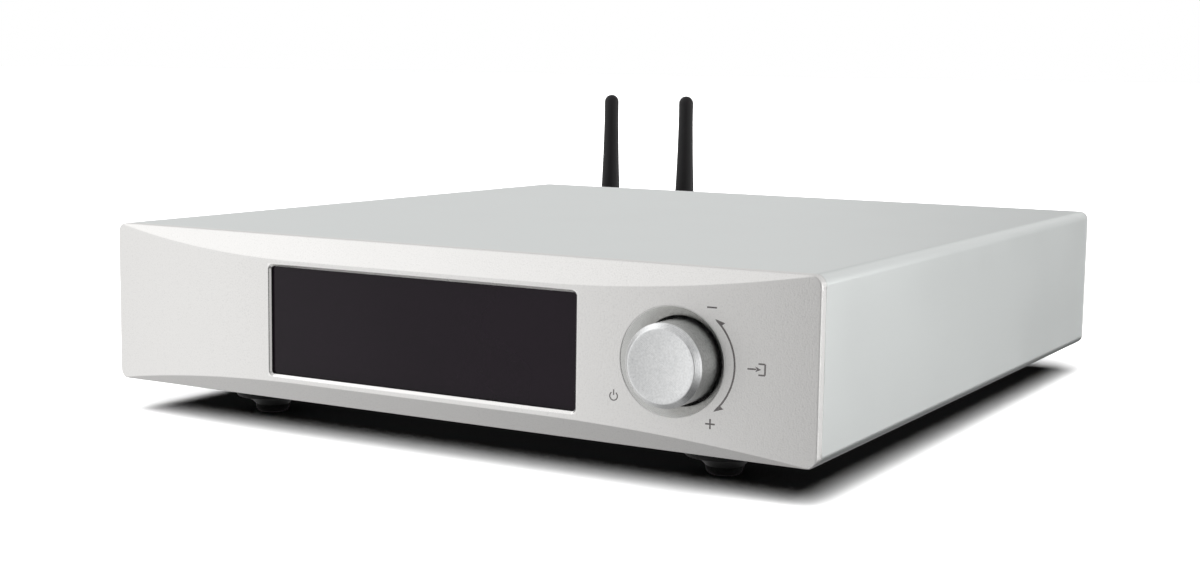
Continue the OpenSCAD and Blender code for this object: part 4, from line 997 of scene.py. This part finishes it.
for node, width, used, slot in (
    ("top_cover", 0.22, cover_metal, "cover_metal"),
    ("rear_panel", 0.25, rear_metal, "rear_metal"),
    ("base_plate", 0.2, base_metal, "base_metal"),
    ("panhead_screws", 0.1, steel, "screw_steel"),
    ("countersunk_screws", 0.08, steel, "screw_steel"),
    ("rear_panel_screws", 0.1, black_screw, "screw_black"),
    ("foot_screws", 0.1, steel, "screw_steel"),
    ("display_window", 0.15, acrylic, "window_acrylic"),
    ("antenna_jacks", 0.08, gold, "gold_brass"),
    ("antenna_jack_nuts", 0.12, gold, "gold_brass"),
    ("antenna_elbow_left", 0.25, aerial_black, "antenna_black"),
    ("antenna_elbow_right", 0.25, aerial_black, "antenna_black"),
    ("antenna_pin_left", 0.12, steel, "screw_steel"),
    ("antenna_pin_right", 0.12, steel, "screw_steel"),
    ("mains_inlet", 0.3, socket_black, "connector_black"),
    ("mains_blades", 0.3, nickel, "contact_metal"),
    ("switch_housing", 0.25, socket_black, "connector_black"),
    ("switch_rocker", 0.25, rocker_black, "rocker_plastic"),
    ("network_jack", 0.12, tin, "shield_metal"),
    ("network_contacts", 0.06, gold, "contact_gold"),
    ("data_jack", 0.12, tin, "shield_metal"),
    ("data_tongues", 0.12, ivory, "tongue_plastic"),
    ("optical_jack", 0.2, socket_black, "connector_black"),
    ("optical_shutter", 0.12, shutter_grey, "shutter_plastic"),
    ("audio_jacks", 0.12, gold, "gold_brass"),
    ("audio_rings", 0.2, ring_colours, "ring_plastic"),
    ("audio_nuts", 0.12, gold, "gold_brass"),
    ("trigger_jack", 0.12, socket_black, "connector_black"),
):
    softened(node, width * MM, used)

# %% [markdown]
# ## What lies inside
# Boards, transformer and wiring sit inside the closed case. They keep their CAD shape, and each
# gets the finish of its kind, so that an opened case would still look right.

# %% Inner finishes
inner_finishes = {
    steel: "encoder_washer encoder_nut transformer_clamp knob_grub_screw",
    nickel: "encoder_shaft encoder_body",
    tin: "module_shield",
    brass: "board_pillars",
    pad_black: "window_gasket",
    dark_glass: "display_glass",
    ivory: "display_frame display_ribbon",
    green_board: "display_board encoder_board main_board power_board",
    blue_board: "streaming_module",
    tape_amber: "transformer",
    sleeve_navy: "capacitors",
    sink_black: "heat_sink front_subpanel",
    socket_black: "switch_plunger",
    lead_black: "antenna_leads",
    mains_cores: "mains_leads",
}
for used, names in inner_finishes.items():
    for name in names.split():
        mesh = frame["nodes"][name].data
        mesh.materials.clear()
        mesh.materials.append(used)
print("inner nodes", sum(len(names.split()) for names in inner_finishes.values()))

# %% [markdown]
# ## Marks on the rocker
# The mains rocker has the two usual signs, a bar and a ring. They are printed on its two faces,
# which meet at an angle, so each sign lies on its own plane.

# %% Rocker signs
def on_plane(origin, upward):
    """A surface through origin: the first coordinate runs along -x as seen from behind, the
    second along upward, and the lift is square to both."""
    up = np.array(upward, float) / np.linalg.norm(upward)
    across = np.array((-1.0, 0, 0))
    out = np.cross(across, up)
    return lambda points, lift: np.array(origin) + points[:, :1] * across + points[:, 1:] * up + lift * out


hinge = np.array(next(joint["pos_m"] for joint in frame["joints"] if joint["name"] == "rocker_tip"))
low_face = on_plane(hinge + np.array((0, 4.53, -4.96)) * MM, UP)
tilt = np.radians(20)
high_face = on_plane(hinge + np.array((0, 5.96, 3.12)) * MM, (0, np.sin(tilt), np.cos(tilt)))
ring_sign = ribbon(*(arc_line((0, 0), radius * MM, 0, 360, 49) for radius in (1.7, 1.3)), low_face)
bar_sign = ribbon(*stroke(np.array(((0, -1.6), (0, 1.6))) * MM, 0.45 * MM), high_face)
make_piece("rocker_signs", [ring_sign, bar_sign], "rocker", white_ink)

# %% [markdown]
# ## Camera
# The photograph looks at the front from the right and a little above. The lens and the place were
# worked out from the case's own corners, so the camera stands where the photographer's did.

# %% Camera
azimuth, elevation, roll = np.radians((29.93, 6.86, 0.80))
stand = (0.28103, -0.52025, 0.10780)
sensor_mm, lens_mm = 36, 52.35
flat = np.cos(elevation)
forward = np.array((-np.sin(azimuth) * flat, np.cos(azimuth) * flat, -np.sin(elevation)))
sideways = np.array((np.cos(azimuth), np.sin(azimuth), 0))
right = sideways * np.cos(roll) + np.cross(sideways, forward) * np.sin(roll)
view_up = np.cross(right, forward)
camera = bpy.data.objects.new("camera", bpy.data.cameras.new("camera"))
scene.collection.objects.link(camera)
camera.data.sensor_width, camera.data.lens = sensor_mm, lens_mm
camera.data.clip_start, camera.data.clip_end = 0.01, 100
turned = Matrix(np.column_stack((right, view_up, -forward)).tolist()).to_4x4()
camera.matrix_world = Matrix.Translation(stand) @ turned
scene.camera = camera
print("camera at", tuple(round(v, 3) for v in camera.matrix_world.translation))

# %% [markdown]
# ## Floor and light
# A product picture like this is made on a white table under big soft lamps. Metal shows its
# surroundings, so the surroundings matter more than the lamps: bright on the left, dimmer where
# the camera stands. The world is that studio, and only what shines sees it. What is matt is lit by
# two soft suns: one shines on everything, and one on the table alone, which is pure white in the
# photograph. Reflections leave out the suns and the table, so the metal shows the studio only.

# %% Studio
def studio_world():
    """Brightness by direction, as a sum of cards with soft edges. In front: light at the left with
    one brighter card in it, a dark gap right of the middle, and two steps of light at the far
    right. At the back: light at the left, a strip above the horizon, and at the right a card that
    is strongest near the horizon. Overhead is brightest at the front left, and underfoot is dim,
    most of all at the right. The camera itself sees plain white."""
    world = bpy.data.worlds.new("studio")
    world.use_nodes = True
    tree = world.node_tree
    place = Wire(tree).node("TexCoord", out="Generated")
    across, along, up = (axis_of(place, letter) for letter in "XYZ")
    left = 0 - across
    left_card = between(left, 0.53, 0.69) * 0.36 - between(left, 0.74, 0.92) * 0.3
    lit_left = between(left, 0.05, 0.4) * 0.2 + left_card
    gap = between(across, -0.02, 0.34) * 0.55
    right_step, far_step = between(across, 0.52, 0.72) * 0.52, between(across, 0.8, 0.92) * 0.68
    front = lit_left + 0.605 - gap + right_step + far_step
    strip = between(up, 0.06, 0.22) * between(across, -0.26, -0.14) * (1 - between(across, 0.42, 0.6))
    horizon = between(up, -0.31, -0.15) * (1 - between(up, 0.14, 0.36))
    side_card = between(across, 0.42, 0.6) * (1 - between(across, 0.68, 0.88) * 0.7)
    rear = between(left, 0.08, 0.4) * 0.64 + side_card * (horizon * 2.2 + 0.6) + strip * 0.72 + 0.08
    overhead = between(left, 0.3, 0.75) * (1 - between(along, 0.0, 0.5)) * 1.05 + 0.65
    underfoot = between(left, 0.35, 0.75) * 0.35 + between(0 - along, 0.0, 0.35) * 0.35 + 0.33
    underfoot = underfoot * (1 - between(across, 0.0, 0.3) * 0.7)
    behind = between(along, -0.1, 0.5)
    above, below = between(up, 0.25, 0.85), between(0 - up, 0.2, 0.8)
    glow = front * (1 - behind) + rear * behind
    glow = glow * (1 - above) + overhead * above
    glow = glow * (1 - below) + underfoot * below
    seen = place.node("LightPath", out="Is Camera Ray")
    dulled = place.math("MINIMUM", place.node("LightPath", out="Diffuse Depth"), 1.0)
    strength = glow * (1 - seen) * (1 - dulled * 0.97) + seen
    sky = tree.nodes["Background"]
    sky.inputs["Color"].default_value = (1, 1, 1, 1)
    tree.links.new(strength.socket, sky.inputs["Strength"])
    world.cycles_visibility.diffuse = False
    scene.world = world


def soft_sun(name, travel, spread, strength, only=None):
    """A lamp far away that shines along travel, as soft as a sky patch spread degrees wide. It
    lights everything, or only the objects in one collection."""
    lamp = bpy.data.lights.new(name, "SUN")
    lamp.energy, lamp.angle = strength, np.radians(spread)
    holder = bpy.data.objects.new(name, lamp)
    scene.collection.objects.link(holder)
    holder.rotation_euler = Vector(travel).to_track_quat("-Z", "Y").to_euler()
    holder.visible_glossy = False
    holder.light_linking.receiver_collection = only


studio_world()


def floor_paint(place):
    """Matt white paper with a barely visible tooth."""
    tooth = grain(place, 1.5 * MM, 2.0)
    return {"Base Color": blend(tooth, (0.9, 0.9, 0.9), (0.93, 0.93, 0.93))}


floor_half, floor_lines = 40, 9
reach = np.linspace(-floor_half, floor_half, floor_lines)
floor_x, floor_y = np.meshgrid(reach, reach)
floor_points = np.stack((floor_x, floor_y, 0 * floor_x), -1).reshape(-1, 3)
floor_mesh = bpy.data.meshes.new("floor")
floor_mesh.from_pydata(floor_points, [], grid_quads(floor_lines, floor_lines).tolist())
floor_mesh.materials.append(finish("white_paper", floor_paint, Roughness=0.9, Specular_IOR_Level=0.0))
floor = bpy.data.objects.new("floor", floor_mesh)
scene.collection.objects.link(floor)
floor.visible_glossy = False
table = bpy.data.collections.new("table")
table.objects.link(floor)
soft_sun("overhead", (-0.06, 0.4, -0.95), spread=36, strength=1.6)
soft_sun("table_lamp", (-0.12, 0.5, -0.9), spread=70, strength=6.5, only=table)
scene.view_settings.view_transform = "Standard"
print("floor", floor.dimensions[:])
